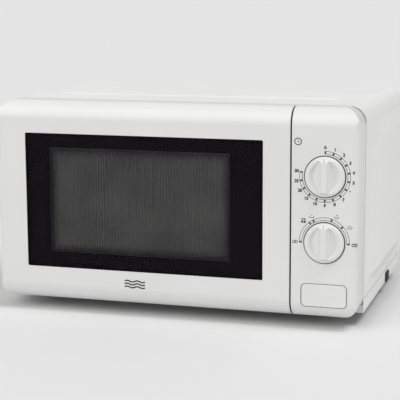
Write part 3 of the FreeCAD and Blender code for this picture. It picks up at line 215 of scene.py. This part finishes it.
def zinc():
    """Zinc-plated sheet with its spangle and rolling lines."""
    material = new_material("zinc_steel", (0.56, 0.57, 0.58), 0.36, metallic=1.0)
    mottle(material, scale=240, low=0.93, high=1.05, detail=1.0)
    vary_roughness(material, scale=180, low=0.32, high=0.46)
    bump(material, scale=500, depth_mm=0.01, stretch=(1, 8, 8))
    return material


def bright_metal():
    """Plated screws, pins and springs."""
    material = new_material("plated_fasteners", (0.72, 0.72, 0.7), 0.22, metallic=1.0)
    mottle(material, scale=200, low=0.9, high=1.05)
    bump(material, scale=1500, depth_mm=0.006)
    return material


def tinted_glass():
    """Dark toughened glass that lets the mesh behind it show."""
    material = new_material("window_glass", (0.004, 0.003, 0.005), 0.05, Alpha=0.2, IOR=1.5,
                            Specular_IOR_Level=0.11)
    vary_roughness(material, scale=12, low=0.035, high=0.07)
    return material


def clear_film():
    """The thin film on the door's inner side."""
    material = new_material("clear_film", (0.55, 0.55, 0.55), 0.1, Alpha=0.1)
    bump(material, scale=60, depth_mm=0.05)
    return material


def tray_glass():
    """The turntable's pressed clear glass."""
    material = new_material("tray_glass", (0.93, 0.97, 0.96), 0.04, IOR=1.47,
                            Transmission_Weight=1.0)
    bump(material, scale=90, depth_mm=0.05)
    return material


def lamp_glass():
    """The cavity lamp's bulb."""
    material = new_material("lamp_glass", (0.95, 0.95, 0.9), 0.08, Transmission_Weight=0.8)
    mottle(material, scale=80, low=0.9, high=1.0)
    return material


def matt_black():
    """The mesh screen's baked black coat."""
    material = new_material("black_screen", (0.15, 0.148, 0.144), 0.5, Specular_IOR_Level=0.3)
    mottle(material, scale=30, low=0.85, high=1.15)
    bump(material, scale=900, depth_mm=0.01)
    return material


def grained(name, colour, roughness, scale=900, depth=0.02, low=0.9, high=1.08, **sockets):
    """A plain moulded or coated surface with a fine grain; depth is in mm."""
    material = new_material(name, colour, roughness, **sockets)
    mottle(material, 25, low, high)
    bump(material, scale, depth)
    return material


def rubber():
    """Matt black rubber for the feet and the bumper."""
    material = grained("black_rubber", (0.018, 0.018, 0.019), 0.72, scale=1200, depth=0.04)
    vary_roughness(material, scale=60, low=0.62, high=0.82)
    return material


def mica():
    """Layered mica sheet with pale flakes."""
    material = new_material("mica", (0.55, 0.49, 0.38), 0.4)
    mottle(material, scale=300, low=0.86, high=1.12, detail=6.0)
    bump(material, scale=180, depth_mm=0.04, stretch=(1, 1, 2))
    return material


def copper():
    """Enamelled copper wire, laid side by side."""
    material = new_material("copper_winding", (0.50, 0.20, 0.07), 0.3, metallic=0.8)
    mottle(material, scale=300, low=0.7, high=1.15)
    bump(material, scale=140, depth_mm=0.15, stretch=(0.2, 0.2, 12))
    return material


def aluminium():
    """Thin rolled fins."""
    material = new_material("aluminium_fins", (0.72, 0.73, 0.74), 0.32, metallic=1.0)
    mottle(material, scale=90, low=0.92, high=1.04)
    bump(material, scale=700, depth_mm=0.01, stretch=(6, 1, 1))
    return material


MATERIALS = {
    "white_painted_steel": painted_steel(),
    "white_moulded_plastic": white_plastic(),
    "zinc_steel": zinc(),
    "white_enamel": enamel(),
    "plated_fasteners": bright_metal(),
    "window_glass": tinted_glass(),
    "clear_film": clear_film(),
    "tray_glass": tray_glass(),
    "lamp_glass": lamp_glass(),
    "black_screen": matt_black(),
    "dark_plastic": grained("dark_plastic", (0.03, 0.03, 0.031), 0.5),
    "black_rubber": rubber(),
    "mica": mica(),
    "motor_can": grained("motor_can", (0.5, 0.5, 0.49), 0.35, scale=400, depth=0.01),
    "grey_plastic": grained("grey_plastic", (0.33, 0.34, 0.35), 0.5),
    "black_plastic": grained("black_plastic", (0.02, 0.02, 0.021), 0.45),
    "natural_acetal": grained("natural_acetal", (0.82, 0.81, 0.76), 0.38, scale=1500, depth=0.01,
                              low=0.97, high=1.02),
    "control_unit": grained("control_unit", (0.62, 0.59, 0.50), 0.5, scale=800, low=0.94,
                            high=1.04),
    "aluminium_fins": aluminium(),
    "ferrite": grained("ferrite", (0.04, 0.04, 0.042), 0.6, scale=600, depth=0.03, low=0.8,
                       high=1.2),
    "copper_winding": copper(),
    "circuit_board": grained("circuit_board", (0.34, 0.21, 0.07), 0.45, scale=500, low=0.8,
                             high=1.15),
}
GREY_PRINT = grained("grey_print", (0.012, 0.012, 0.013), 0.5, scale=3000, depth=0.003, high=1.1)
PALE_PRINT = grained("pale_print", (0.34, 0.34, 0.34), 0.5, scale=3000, depth=0.003, low=0.95,
                     high=1.05)
FRIT = grained("black_frit", (0.006, 0.004, 0.006), 0.5, scale=3000, depth=0.002, high=1.1,
               Specular_IOR_Level=0.08)


def finish_nodes():
    """Gives every node of the frame the material of its slot."""
    for row in frame["record"]["subparts"]:
        data = frame["nodes"][row["node"]].data
        data.materials.clear()
        data.materials.append(MATERIALS[row["material_slot"]])


# ---------------------------------------------------------------- mesh helpers
def finish_piece(name, mesh, body, material, smooth=False):
    """Makes an object of a bmesh, and lets it ride on a body if one is given."""
    data = bpy.data.meshes.new(name)
    bmesh.ops.recalc_face_normals(mesh, faces=mesh.faces)
    for face in mesh.faces:
        face.smooth = smooth
    mesh.to_mesh(data)
    mesh.free()
    data.materials.append(material)
    piece = bpy.data.objects.new(name, data)
    bpy.context.scene.collection.objects.link(piece)
    if body:
        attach(piece, body)
    return piece


def skin(mesh, rings):
    """Closes a row of equal loops of vertices into a solid."""
    count = len(rings[0])
    for first, second in zip(rings, rings[1:]):
        for k in range(count):
            n = (k + 1) % count
            mesh.faces.new((first[k], first[n], second[n], second[k]))
    mesh.faces.new(rings[0])
    mesh.faces.new(rings[-1][::-1])


def prism(mesh, outline, y_front, y_back):
    """A closed prism between two depths; outline is a list of (x, z)."""
    front = [mesh.verts.new((x, y_front, z)) for x, z in outline]
    back = [mesh.verts.new((x, y_back, z)) for x, z in outline]
    mesh.faces.new(front)
    mesh.faces.new(back[::-1])
    for i in range(len(outline)):
        j = (i + 1) % len(outline)
        mesh.faces.new((front[i], back[i], back[j], front[j]))


# ---------------------------------------------------------------- print on the front
INK_FRONT = FACE_Y - 0.05 * MM
INK_BACK = FACE_Y + 0.05 * MM
STROKE = 0.65 * MM               # width of the lines that the small signs are drawn with
ARC_STEP = 4                     # degrees
FEWEST_ARC_STEPS = 4
FONT_PER_FIGURE = 1.4            # font size over the height of a figure
FIGURE_WEIGHT = 0.075            # thickening over the height of a figure


def printed(mesh, outline):
    """A thin layer of ink on the front."""
    prism(mesh, outline, INK_FRONT, INK_BACK)


def around(centre, radius, degrees):
    """A point at a clockwise angle from straight up, as the user sees it."""
    angle = math.radians(degrees)
    return centre[0] + radius * math.sin(angle), centre[1] + radius * math.cos(angle)


def arc_band(mesh, centre, radius, width, start, end):
    """A printed arc line, made of short closed wedges that share their edges."""
    steps = max(FEWEST_ARC_STEPS, int(abs(end - start) / ARC_STEP))
    rows = []
    for i in range(steps + 1):
        angle = start + (end - start) * i / steps
        ring_points = []
        for r in (radius - width / 2, radius + width / 2):
            x, z = around(centre, r, angle)
            for y in (INK_FRONT, INK_BACK):
                ring_points.append(mesh.verts.new((x, y, z)))
        rows.append(ring_points)
    closed = end - start == 360
    if closed:
        for vert in rows.pop():
            mesh.verts.remove(vert)
    for a, b in zip(rows, rows[1:] + ([rows[0]] if closed else [])):
        for i, j in ((0, 2), (2, 3), (3, 1), (1, 0)):
            mesh.faces.new((a[i], a[j], b[j], b[i]))
    if not closed:
        for row in (rows[0], rows[-1]):
            mesh.faces.new((row[0], row[2], row[3], row[1]))


def bar(mesh, start, end, width):
    """A straight printed line with square ends."""
    along = Vector((end[0] - start[0], end[1] - start[1]))
    side = Vector((-along.y, along.x)).normalized() * width / 2
    corners = [(start[0] + side.x, start[1] + side.y), (start[0] - side.x, start[1] - side.y),
               (end[0] - side.x, end[1] - side.y), (end[0] + side.x, end[1] + side.y)]
    printed(mesh, corners)


def polyline(mesh, points, width):
    """A printed line of straight pieces."""
    for start, end in zip(points, points[1:]):
        bar(mesh, start, end, width)


def rectangle(centre, wide, tall):
    """The corners of a rectangle round a centre."""
    x, z = centre
    w, t = wide / 2, tall / 2
    return [(x - w, z - t), (x + w, z - t), (x + w, z + t), (x - w, z + t)]


def outline_box(mesh, centre, wide, tall):
    """The four sides of a small rectangle."""
    corners = rectangle(centre, wide, tall)
    for start, end in zip(corners, corners[1:] + corners[:1]):
        bar(mesh, start, end, STROKE)


def filled_box(mesh, centre, wide, tall):
    """A small rectangle full of ink."""
    printed(mesh, rectangle(centre, wide, tall))


def add_text(mesh, words, centre, tall):
    """Adds a number as closed ink, centred on a place of the face."""
    curve = bpy.data.curves.new("number", "FONT")
    curve.body = words
    curve.size = tall * FONT_PER_FIGURE
    curve.align_x = "CENTER"
    curve.align_y = "CENTER"
    curve.extrude = (INK_BACK - INK_FRONT) / 2
    curve.offset = tall * FIGURE_WEIGHT
    holder = bpy.data.objects.new("number", curve)
    bpy.context.scene.collection.objects.link(holder)
    bpy.context.view_layer.update()
    graph = bpy.context.evaluated_depsgraph_get()
    shape = bpy.data.meshes.new_from_object(holder.evaluated_get(graph))
    upright = Matrix.Rotation(math.pi / 2, 4, "X")
    shape.transform(Matrix.Translation((centre[0], FACE_Y, centre[1])) @ upright)
    mesh.from_mesh(shape)
    bpy.data.objects.remove(holder)
    bpy.data.curves.remove(curve)
    bpy.data.meshes.remove(shape)


# ---------------------------------------------------------------- printed dials
TRACK_INNER = 26.5 * MM
TRACK_OUTER = 29.6 * MM
LINE = 0.55 * MM
TICK_RADIUS = (TRACK_INNER + TRACK_OUTER) / 2
TICK_LONG = 3.0 * MM
TICK_WIDE = 1.9 * MM
NUMBER_RADIUS = 33.6 * MM
NUMBER_TALL = 3.6 * MM
MINUTES = (0, 1, 2, 3, 4, 5, 6, 7, 8, 9, 10, 15, 20, 25, 30)
MINUTE_STEP = 20                 # degrees from one number to the next
POWER_MARKS = (-90, -37, -27, 17, 47, 90)
SIGN_RADIUS = 34.5 * MM
FAR_SIGN_RADIUS = SIGN_RADIUS + 0.7 * MM
STEAM_PITCH = 1.3 * MM


def tick(mesh, centre, degrees):
    """A short thick mark across the double track line."""
    inner = around(centre, TICK_RADIUS - TICK_LONG / 2, degrees)
    outer = around(centre, TICK_RADIUS + TICK_LONG / 2, degrees)
    bar(mesh, inner, outer, TICK_WIDE)


def timer_print():
    """Minutes from 0 to 30 round the timer's knob, with a mark at each."""
    centre = (TIMER.x, TIMER.z)
    mesh = bmesh.new()
    sweep = MINUTE_STEP * (len(MINUTES) - 1)
    for radius in (TRACK_INNER, TRACK_OUTER):
        arc_band(mesh, centre, radius, LINE, 0, sweep)
    for i, minute in enumerate(MINUTES):
        degrees = i * MINUTE_STEP
        tick(mesh, centre, degrees)
        add_text(mesh, str(minute), around(centre, NUMBER_RADIUS, degrees), NUMBER_TALL)
    finish_piece("timer_dial_print", mesh, "oven_body", GREY_PRINT)


def bowl(mesh, centre, wide, strokes):
    """A round bowl with short strokes of steam over it."""
    x, z = centre
    steps = 8
    rim = [(x + wide / 2 * math.cos(a), z + wide / 3 * math.sin(a))
           for a in [math.pi * (1 + i / steps) for i in range(steps + 1)]]
    polyline(mesh, rim, STROKE)
    for i in range(strokes):
        sx = x + (i - (strokes - 1) / 2) * STEAM_PITCH
        polyline(mesh, [(sx, z + 0.5 * MM), (sx + 0.35 * MM, z + 1.2 * MM), (sx, z + 1.9 * MM)],
                 STROKE)


def dish(mesh, centre, wide, strokes):
    """A flat dish with strokes over it."""
    x, z = centre
    lean, deep = 0.7 * MM, 1.5 * MM
    polyline(mesh, [(x - wide / 2, z), (x - wide / 2 + lean, z - deep),
                    (x + wide / 2 - lean, z - deep), (x + wide / 2, z)], STROKE)
    for i in range(strokes):
        sx = x + (i - (strokes - 1) / 2) * STEAM_PITCH
        bar(mesh, (sx, z + 0.4 * MM), (sx + 0.3 * MM, z + 1.9 * MM), STROKE)


def power_print():
    """A half-round scale from low to high, with a plain food sign at each mark."""
    centre = (POWER.x, POWER.z)
    mesh = bmesh.new()
    for radius in (TRACK_INNER, TRACK_OUTER):
        arc_band(mesh, centre, radius, LINE, -90, 90)
    for degrees in POWER_MARKS:
        tick(mesh, centre, degrees)
    low = around(centre, SIGN_RADIUS, -90)
    for side in (-1, 1):
        outline_box(mesh, (low[0] + side * 1.5 * MM, low[1]), 2.3 * MM, 3 * MM)
    thaw = around(centre, SIGN_RADIUS + 1 * MM, -44)
    for side in (-1, 1):
        filled_box(mesh, (thaw[0] + side * 1.5 * MM, thaw[1] - 1.6 * MM), 2.4 * MM, 2.6 * MM)
        outline_box(mesh, (thaw[0] + side * 1.3 * MM, thaw[1] + 1.5 * MM), 1.6 * MM, 1.4 * MM)
    bowl(mesh, around(centre, SIGN_RADIUS, -26), wide=6.2 * MM, strokes=1)
    bowl(mesh, around(centre, SIGN_RADIUS, 24), wide=6.2 * MM, strokes=2)
    dish(mesh, around(centre, FAR_SIGN_RADIUS, 56), wide=6.6 * MM, strokes=3)
    high = around(centre, FAR_SIGN_RADIUS, 90)
    dish(mesh, (high[0], high[1] - STROKE), wide=6.4 * MM, strokes=4)
    outline_box(mesh, (high[0], high[1] - 1.1 * MM), 5.8 * MM, 2.2 * MM)
    finish_piece("power_dial_print", mesh, "oven_body", GREY_PRINT)


def clock_sign():
    """A plain clock over the timer's dial, on its left."""
    x, z = TIMER.x - 31.8 * MM, TIMER.z + 39.9 * MM
    hand = 0.7 * MM
    mesh = bmesh.new()
    arc_band(mesh, (x, z), 3.9 * MM, 1.0 * MM, 0, 360)
    bar(mesh, (x, z), (x, z + 2 * MM), hand)
    bar(mesh, (x, z), (x + 1.4 * MM, z - 0.8 * MM), hand)
    finish_piece("clock_sign", mesh, "oven_body", GREY_PRINT)


GRIP_SLOPE = 6 * MM              # length of the sloping end of a knob's grip bar
POINTER_ENDS = (5.8 * MM, 3.0 * MM)      # from the knob's rim
POINTER_HALF = 0.5 * MM
POINTER_PROUD = 0.12 * MM
POINTER_SUNK = 0.3 * MM


def knob_pointers():
    """The short grey mark on the sloping upper end of each grip bar."""
    for name, body, place in (("timer", "timer_dial", TIMER), ("power", "power_dial", POWER)):
        low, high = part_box(name + "_knob")
        radius = (high.z - low.z) / 2
        reach = FACE_Y - low.y
        mesh = bmesh.new()
        ends = []
        for drop in POINTER_ENDS:
            z = place.z + radius - drop
            y = low.y + reach * (1 - drop / GRIP_SLOPE)
            ends.append([mesh.verts.new((place.x + dx, y + dy, z))
                         for dx, dy in ((-POINTER_HALF, -POINTER_PROUD),
                                        (POINTER_HALF, -POINTER_PROUD),
                                        (POINTER_HALF, POINTER_SUNK),
                                        (-POINTER_HALF, POINTER_SUNK))])
        skin(mesh, ends)
        finish_piece(name + "_pointer", mesh, body, PALE_PRINT)


WAVE_LEFT = LEFT + 166 * MM
WAVE_BASE = BASE + 24 * MM
WAVE_WIDE = 26 * MM
WAVE_PITCH = 3.6 * MM
WAVE_HALF_TALL = 0.9 * MM
WAVE_LINE = 1.7 * MM
WAVE_STEPS = 24
WAVE_CRESTS = 2
WAVES = 3


def door_mark():
    """A plain three-wave sign on the door's bottom rail."""
    mesh = bmesh.new()
    for row in range(WAVES):
        points = []
        for i in range(WAVE_STEPS + 1):
            t = i / WAVE_STEPS
            rise = WAVE_HALF_TALL * math.sin(t * WAVE_CRESTS * TAU)
            points.append((WAVE_LEFT + WAVE_WIDE * t, WAVE_BASE + row * WAVE_PITCH + rise))
        polyline(mesh, points, WAVE_LINE)
    finish_piece("door_wave_sign", mesh, "door", GREY_PRINT)


# ---------------------------------------------------------------- window
CLEAR_X = (LEFT + 80 * MM, LEFT + 286.5 * MM)
CLEAR_Z = (BASE + 73 * MM, BASE + 180 * MM)
FADE = 11 * MM
DOT_PITCH = 1.9 * MM
DOT_SIDES = 6
DOT_LARGEST = 0.36               # radius over pitch, at the border
DOT_SHRINK = 0.75                # the part of it that is lost towards the clear middle
DOT_CLEARANCE = 0.4 * MM
FRIT_Y = GLASS_HIGH.y + 0.05 * MM
FRIT_THICK = 0.06 * MM


def frit():
    """The black ceramic border behind the glass, fading out in a field of shrinking dots."""
    mesh = bmesh.new()
    outer = (GLASS_LOW.x, GLASS_HIGH.x, GLASS_LOW.z, GLASS_HIGH.z)
    inner = (CLEAR_X[0] - FADE, CLEAR_X[1] + FADE, CLEAR_Z[0] - FADE, CLEAR_Z[1] + FADE)
    rings = []
    for y in (FRIT_Y, FRIT_Y + FRIT_THICK):
        for x0, x1, z0, z1 in (outer, inner):
            rings.append([mesh.verts.new((x, y, z))
                          for x, z in ((x0, z0), (x1, z0), (x1, z1), (x0, z1))])
    front_out, front_in, back_out, back_in = rings
    for i in range(4):
        j = (i + 1) % 4
        mesh.faces.new((front_out[i], front_out[j], front_in[j], front_in[i]))
        mesh.faces.new((back_out[i], back_in[i], back_in[j], back_out[j]))
        mesh.faces.new((front_out[i], back_out[i], back_out[j], front_out[j]))
        mesh.faces.new((front_in[i], front_in[j], back_in[j], back_in[i]))
    columns = int((inner[1] - inner[0]) / DOT_PITCH)
    lines = int((inner[3] - inner[2]) / (DOT_PITCH / 2))
    for row in range(1, lines):
        z = inner[2] + row * DOT_PITCH / 2
        for column in range(columns):
            x = inner[0] + (column + 0.5 + 0.5 * (row % 2)) * DOT_PITCH
            depth = min(x - inner[0], inner[1] - x, z - inner[2], inner[3] - z)
            if depth < DOT_CLEARANCE or depth > FADE:
                continue
            radius = DOT_PITCH * DOT_LARGEST * (1 - DOT_SHRINK * depth / FADE)
            dot = [(x + radius * math.cos(TAU * k / DOT_SIDES),
                    z + radius * math.sin(TAU * k / DOT_SIDES)) for k in range(DOT_SIDES)]
            prism(mesh, dot, FRIT_Y, FRIT_Y + FRIT_THICK)
    finish_piece("window_frit", mesh, "door", FRIT)


HOLE_PITCH_X = 3.45 * MM
HOLE_PITCH_Z = 2.3 * MM
HOLE_RADIUS = 0.95 * MM
HOLE_SIDES = 8
FIELD_MARGIN = 9 * MM            # from the window's clear part to the edge of the punched field
SHEET = 0.8 * MM


def punched_cell(mesh, sides, cx, cz, depths):
    """One square of sheet with an eight-sided hole, its corners shared with its neighbours."""
    loops = []
    for square, y in zip(sides, depths):
        angles = [TAU * (k + 0.5) / HOLE_SIDES for k in range(HOLE_SIDES)]
        loop = [mesh.verts.new((cx + HOLE_RADIUS * math.cos(a), y, cz + HOLE_RADIUS * math.sin(a)))
                for a in angles]
        corners = square[2:] + square[:2]      # anticlockwise from the upper right, like the hole
        for n in range(4):
            mesh.faces.new((corners[n - 1], corners[n], loop[2 * n], loop[2 * n - 1]))
            mesh.faces.new((corners[n], loop[2 * n + 1], loop[2 * n]))
        loops.append(loop)
    for k in range(HOLE_SIDES):
        n = (k + 1) % HOLE_SIDES
        mesh.faces.new((loops[0][k], loops[0][n], loops[1][n], loops[1][k]))


def cell_edges(low, first, count, pitch, high):
    """The edges of the punched cells, with the sheet's own edges at both ends."""
    return [low] + [first + i * pitch for i in range(count + 1)] + [high]


def mesh_screen():
    """The door's steel screen: a punched field of round holes inside a folded tray."""
    mesh = bmesh.new()
    y0 = SCREEN_LOW.y
    y1 = y0 + SHEET
    left, right = CLEAR_X[0] - FIELD_MARGIN, CLEAR_X[1] + FIELD_MARGIN
    bottom, top = CLEAR_Z[0] - FIELD_MARGIN, CLEAR_Z[1] + FIELD_MARGIN
    columns = int((right - left) / HOLE_PITCH_X)
    lines = int((top - bottom) / HOLE_PITCH_Z)
    xs = cell_edges(SCREEN_LOW.x, left, columns, HOLE_PITCH_X, SCREEN_HIGH.x)
    zs = cell_edges(SCREEN_LOW.z, bottom, lines, HOLE_PITCH_Z, SCREEN_HIGH.z)
    grid = [[[mesh.verts.new((x, y, z)) for z in zs] for x in xs] for y in (y0, y1)]
    for i in range(len(xs) - 1):
        for j in range(len(zs) - 1):
            sides = [[g[i][j], g[i + 1][j], g[i + 1][j + 1], g[i][j + 1]] for g in grid]
            if 0 < i < len(xs) - 2 and 0 < j < len(zs) - 2:
                cx, cz = (xs[i] + xs[i + 1]) / 2, (zs[j] + zs[j + 1]) / 2
                punched_cell(mesh, sides, cx, cz, (y0, y1))
            else:
                mesh.faces.new(sides[0])
                mesh.faces.new(sides[1][::-1])
    last_x, last_z = len(xs) - 1, len(zs) - 1
    for i in range(last_x):
        for j in (0, last_z):
            mesh.faces.new((grid[0][i][j], grid[0][i + 1][j], grid[1][i + 1][j], grid[1][i][j]))
    for j in range(last_z):
        for i in (0, last_x):
            mesh.faces.new((grid[0][i][j], grid[0][i][j + 1], grid[1][i][j + 1], grid[1][i][j]))
    flanges = [(SCREEN_LOW.x, SCREEN_LOW.x + SHEET, SCREEN_LOW.z, SCREEN_HIGH.z),
               (SCREEN_HIGH.x - SHEET, SCREEN_HIGH.x, SCREEN_LOW.z, SCREEN_HIGH.z),
               (SCREEN_LOW.x + SHEET, SCREEN_HIGH.x - SHEET, SCREEN_LOW.z, SCREEN_LOW.z + SHEET),
               (SCREEN_LOW.x + SHEET, SCREEN_HIGH.x - SHEET, SCREEN_HIGH.z - SHEET, SCREEN_HIGH.z)]
    for x0, x1, z0, z1 in flanges:
        prism(mesh, [(x0, z0), (x1, z0), (x1, z1), (x0, z1)], y1, SCREEN_HIGH.y)
    piece = finish_piece("punched_screen", mesh, "door", MATERIALS["black_screen"])
    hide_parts("door_screen")


# ---------------------------------------------------------------- springs
STEPS_PER_TURN = 20
WIRE_SIDES = 8


def coil(name, spring, axis, coils, wire):
    """A coil spring of round wire, laid in the place of the spring part that it hides.

    wire is the wire's radius.
    """
    low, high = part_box(spring)
    middle = (low + high) / 2
    along = Vector(axis)
    side = Vector((1, 0, 0))
    other = along.cross(side)
    reach = (high - low).dot(along) - 2 * wire
    radius = (high.x - low.x) / 2 - wire
    start = middle - along * reach / 2
    steps = coils * STEPS_PER_TURN
    mesh = bmesh.new()
    rings = []
    for i in range(steps + 1):
        turn = TAU * i / STEPS_PER_TURN
        out = side * math.cos(turn) + other * math.sin(turn)
        place = start + out * radius + along * reach * i / steps
        rings.append([mesh.verts.new(place + wire * (out * math.cos(a) + along * math.sin(a)))
                      for a in [TAU * k / WIRE_SIDES for k in range(WIRE_SIDES)]])
    skin(mesh, rings)
    piece = finish_piece(name, mesh, None, MATERIALS["plated_fasteners"], smooth=True)
    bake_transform(piece)
    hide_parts(spring)


# ---------------------------------------------------------------- studio
FLOOR_HALF = 30                  # metres
SKY_STRENGTH = 0.4
SENSOR_WIDE = 36                 # millimetres, as is the lens
LENS = 115.6
YAW, PITCH, ROLL = 17.0, 9.76, -0.25     # degrees
CAMERA_RIGHT, CAMERA_AHEAD, CAMERA_UP = 0.6991, 1.4291, 0.3924     # metres, from the front's
                                                                   # lower left corner


def floor():
    """A plain pale floor, far larger than the view."""
    mesh = bmesh.new()
    mesh.faces.new([mesh.verts.new((x * FLOOR_HALF, y * FLOOR_HALF, 0))
                    for x, y in ((-1, -1), (1, -1), (1, 1), (-1, 1))])
    data = bpy.data.meshes.new("floor")
    mesh.to_mesh(data)
    mesh.free()
    data.materials.append(grained("pale_floor", (0.74, 0.74, 0.74), 0.7, scale=40, low=0.995,
                                  high=1.0))
    plane = bpy.data.objects.new("floor", data)
    bpy.context.scene.collection.objects.link(plane)


def broad_light(name, azimuth, elevation, spread, power):
    """A soft light that comes evenly from one way; azimuth 0 is straight ahead of the door.

    azimuth, elevation and spread are in degrees.
    """
    lamp = bpy.data.lights.new(name, "SUN")
    lamp.angle = math.radians(spread)
    lamp.energy = power
    holder = bpy.data.objects.new(name, lamp)
    turn, rise = math.radians(azimuth), math.radians(elevation)
    source = Vector((math.sin(turn) * math.cos(rise), -math.cos(turn) * math.cos(rise),
                     math.sin(rise)))
    holder.rotation_euler = (-source).to_track_quat("-Z", "Y").to_euler()
    bpy.context.scene.collection.objects.link(holder)


def studio():
    """The surrounding light, two lamps and the floor."""
    scene = bpy.context.scene
    world = bpy.data.worlds.new("studio")
    world.use_nodes = True
    background = world.node_tree.nodes["Background"]
    background.inputs["Color"].default_value = (1.0, 1.0, 1.0, 1)
    background.inputs["Strength"].default_value = SKY_STRENGTH
    scene.world = world
    scene.view_settings.view_transform = "Standard"
    broad_light("key", azimuth=-25, elevation=38, spread=60, power=1.45)
    broad_light("fill", azimuth=78, elevation=62, spread=25, power=1.5)
    floor()


def camera():
    """The viewpoint: to the right of the oven, a little above it, with a long lens."""
    data = bpy.data.cameras.new("camera")
    data.sensor_fit = "HORIZONTAL"
    data.sensor_width = SENSOR_WIDE
    data.lens = LENS
    holder = bpy.data.objects.new("camera", data)
    yaw, pitch, roll = math.radians(YAW), math.radians(PITCH), math.radians(ROLL)
    forward = Vector((-math.sin(yaw) * math.cos(pitch), math.cos(yaw) * math.cos(pitch),
                      -math.sin(pitch)))
    right = Vector((math.cos(yaw), math.sin(yaw), 0))
    up = right.cross(forward)
    tilted_right = math.cos(roll) * right + math.sin(roll) * up
    tilted_up = -math.sin(roll) * right + math.cos(roll) * up
    rotation = Matrix((tilted_right, tilted_up, -forward)).transposed()
    place = Vector((LEFT + CAMERA_RIGHT, FACE_Y - CAMERA_AHEAD, BASE + CAMERA_UP))
    holder.matrix_world = Matrix.Translation(place) @ rotation.to_4x4()
    bpy.context.scene.collection.objects.link(holder)
    bpy.context.scene.camera = holder


camera()
studio()
finish_nodes()
timer_print()
power_print()
clock_sign()
knob_pointers()
door_mark()
frit()
mesh_screen()
coil("button_coil", "button_spring", axis=(0, 1, 0), coils=9, wire=0.55 * MM)
coil("latch_coil", "latch_spring", axis=(0, 0, 1), coils=9, wire=0.45 * MM)
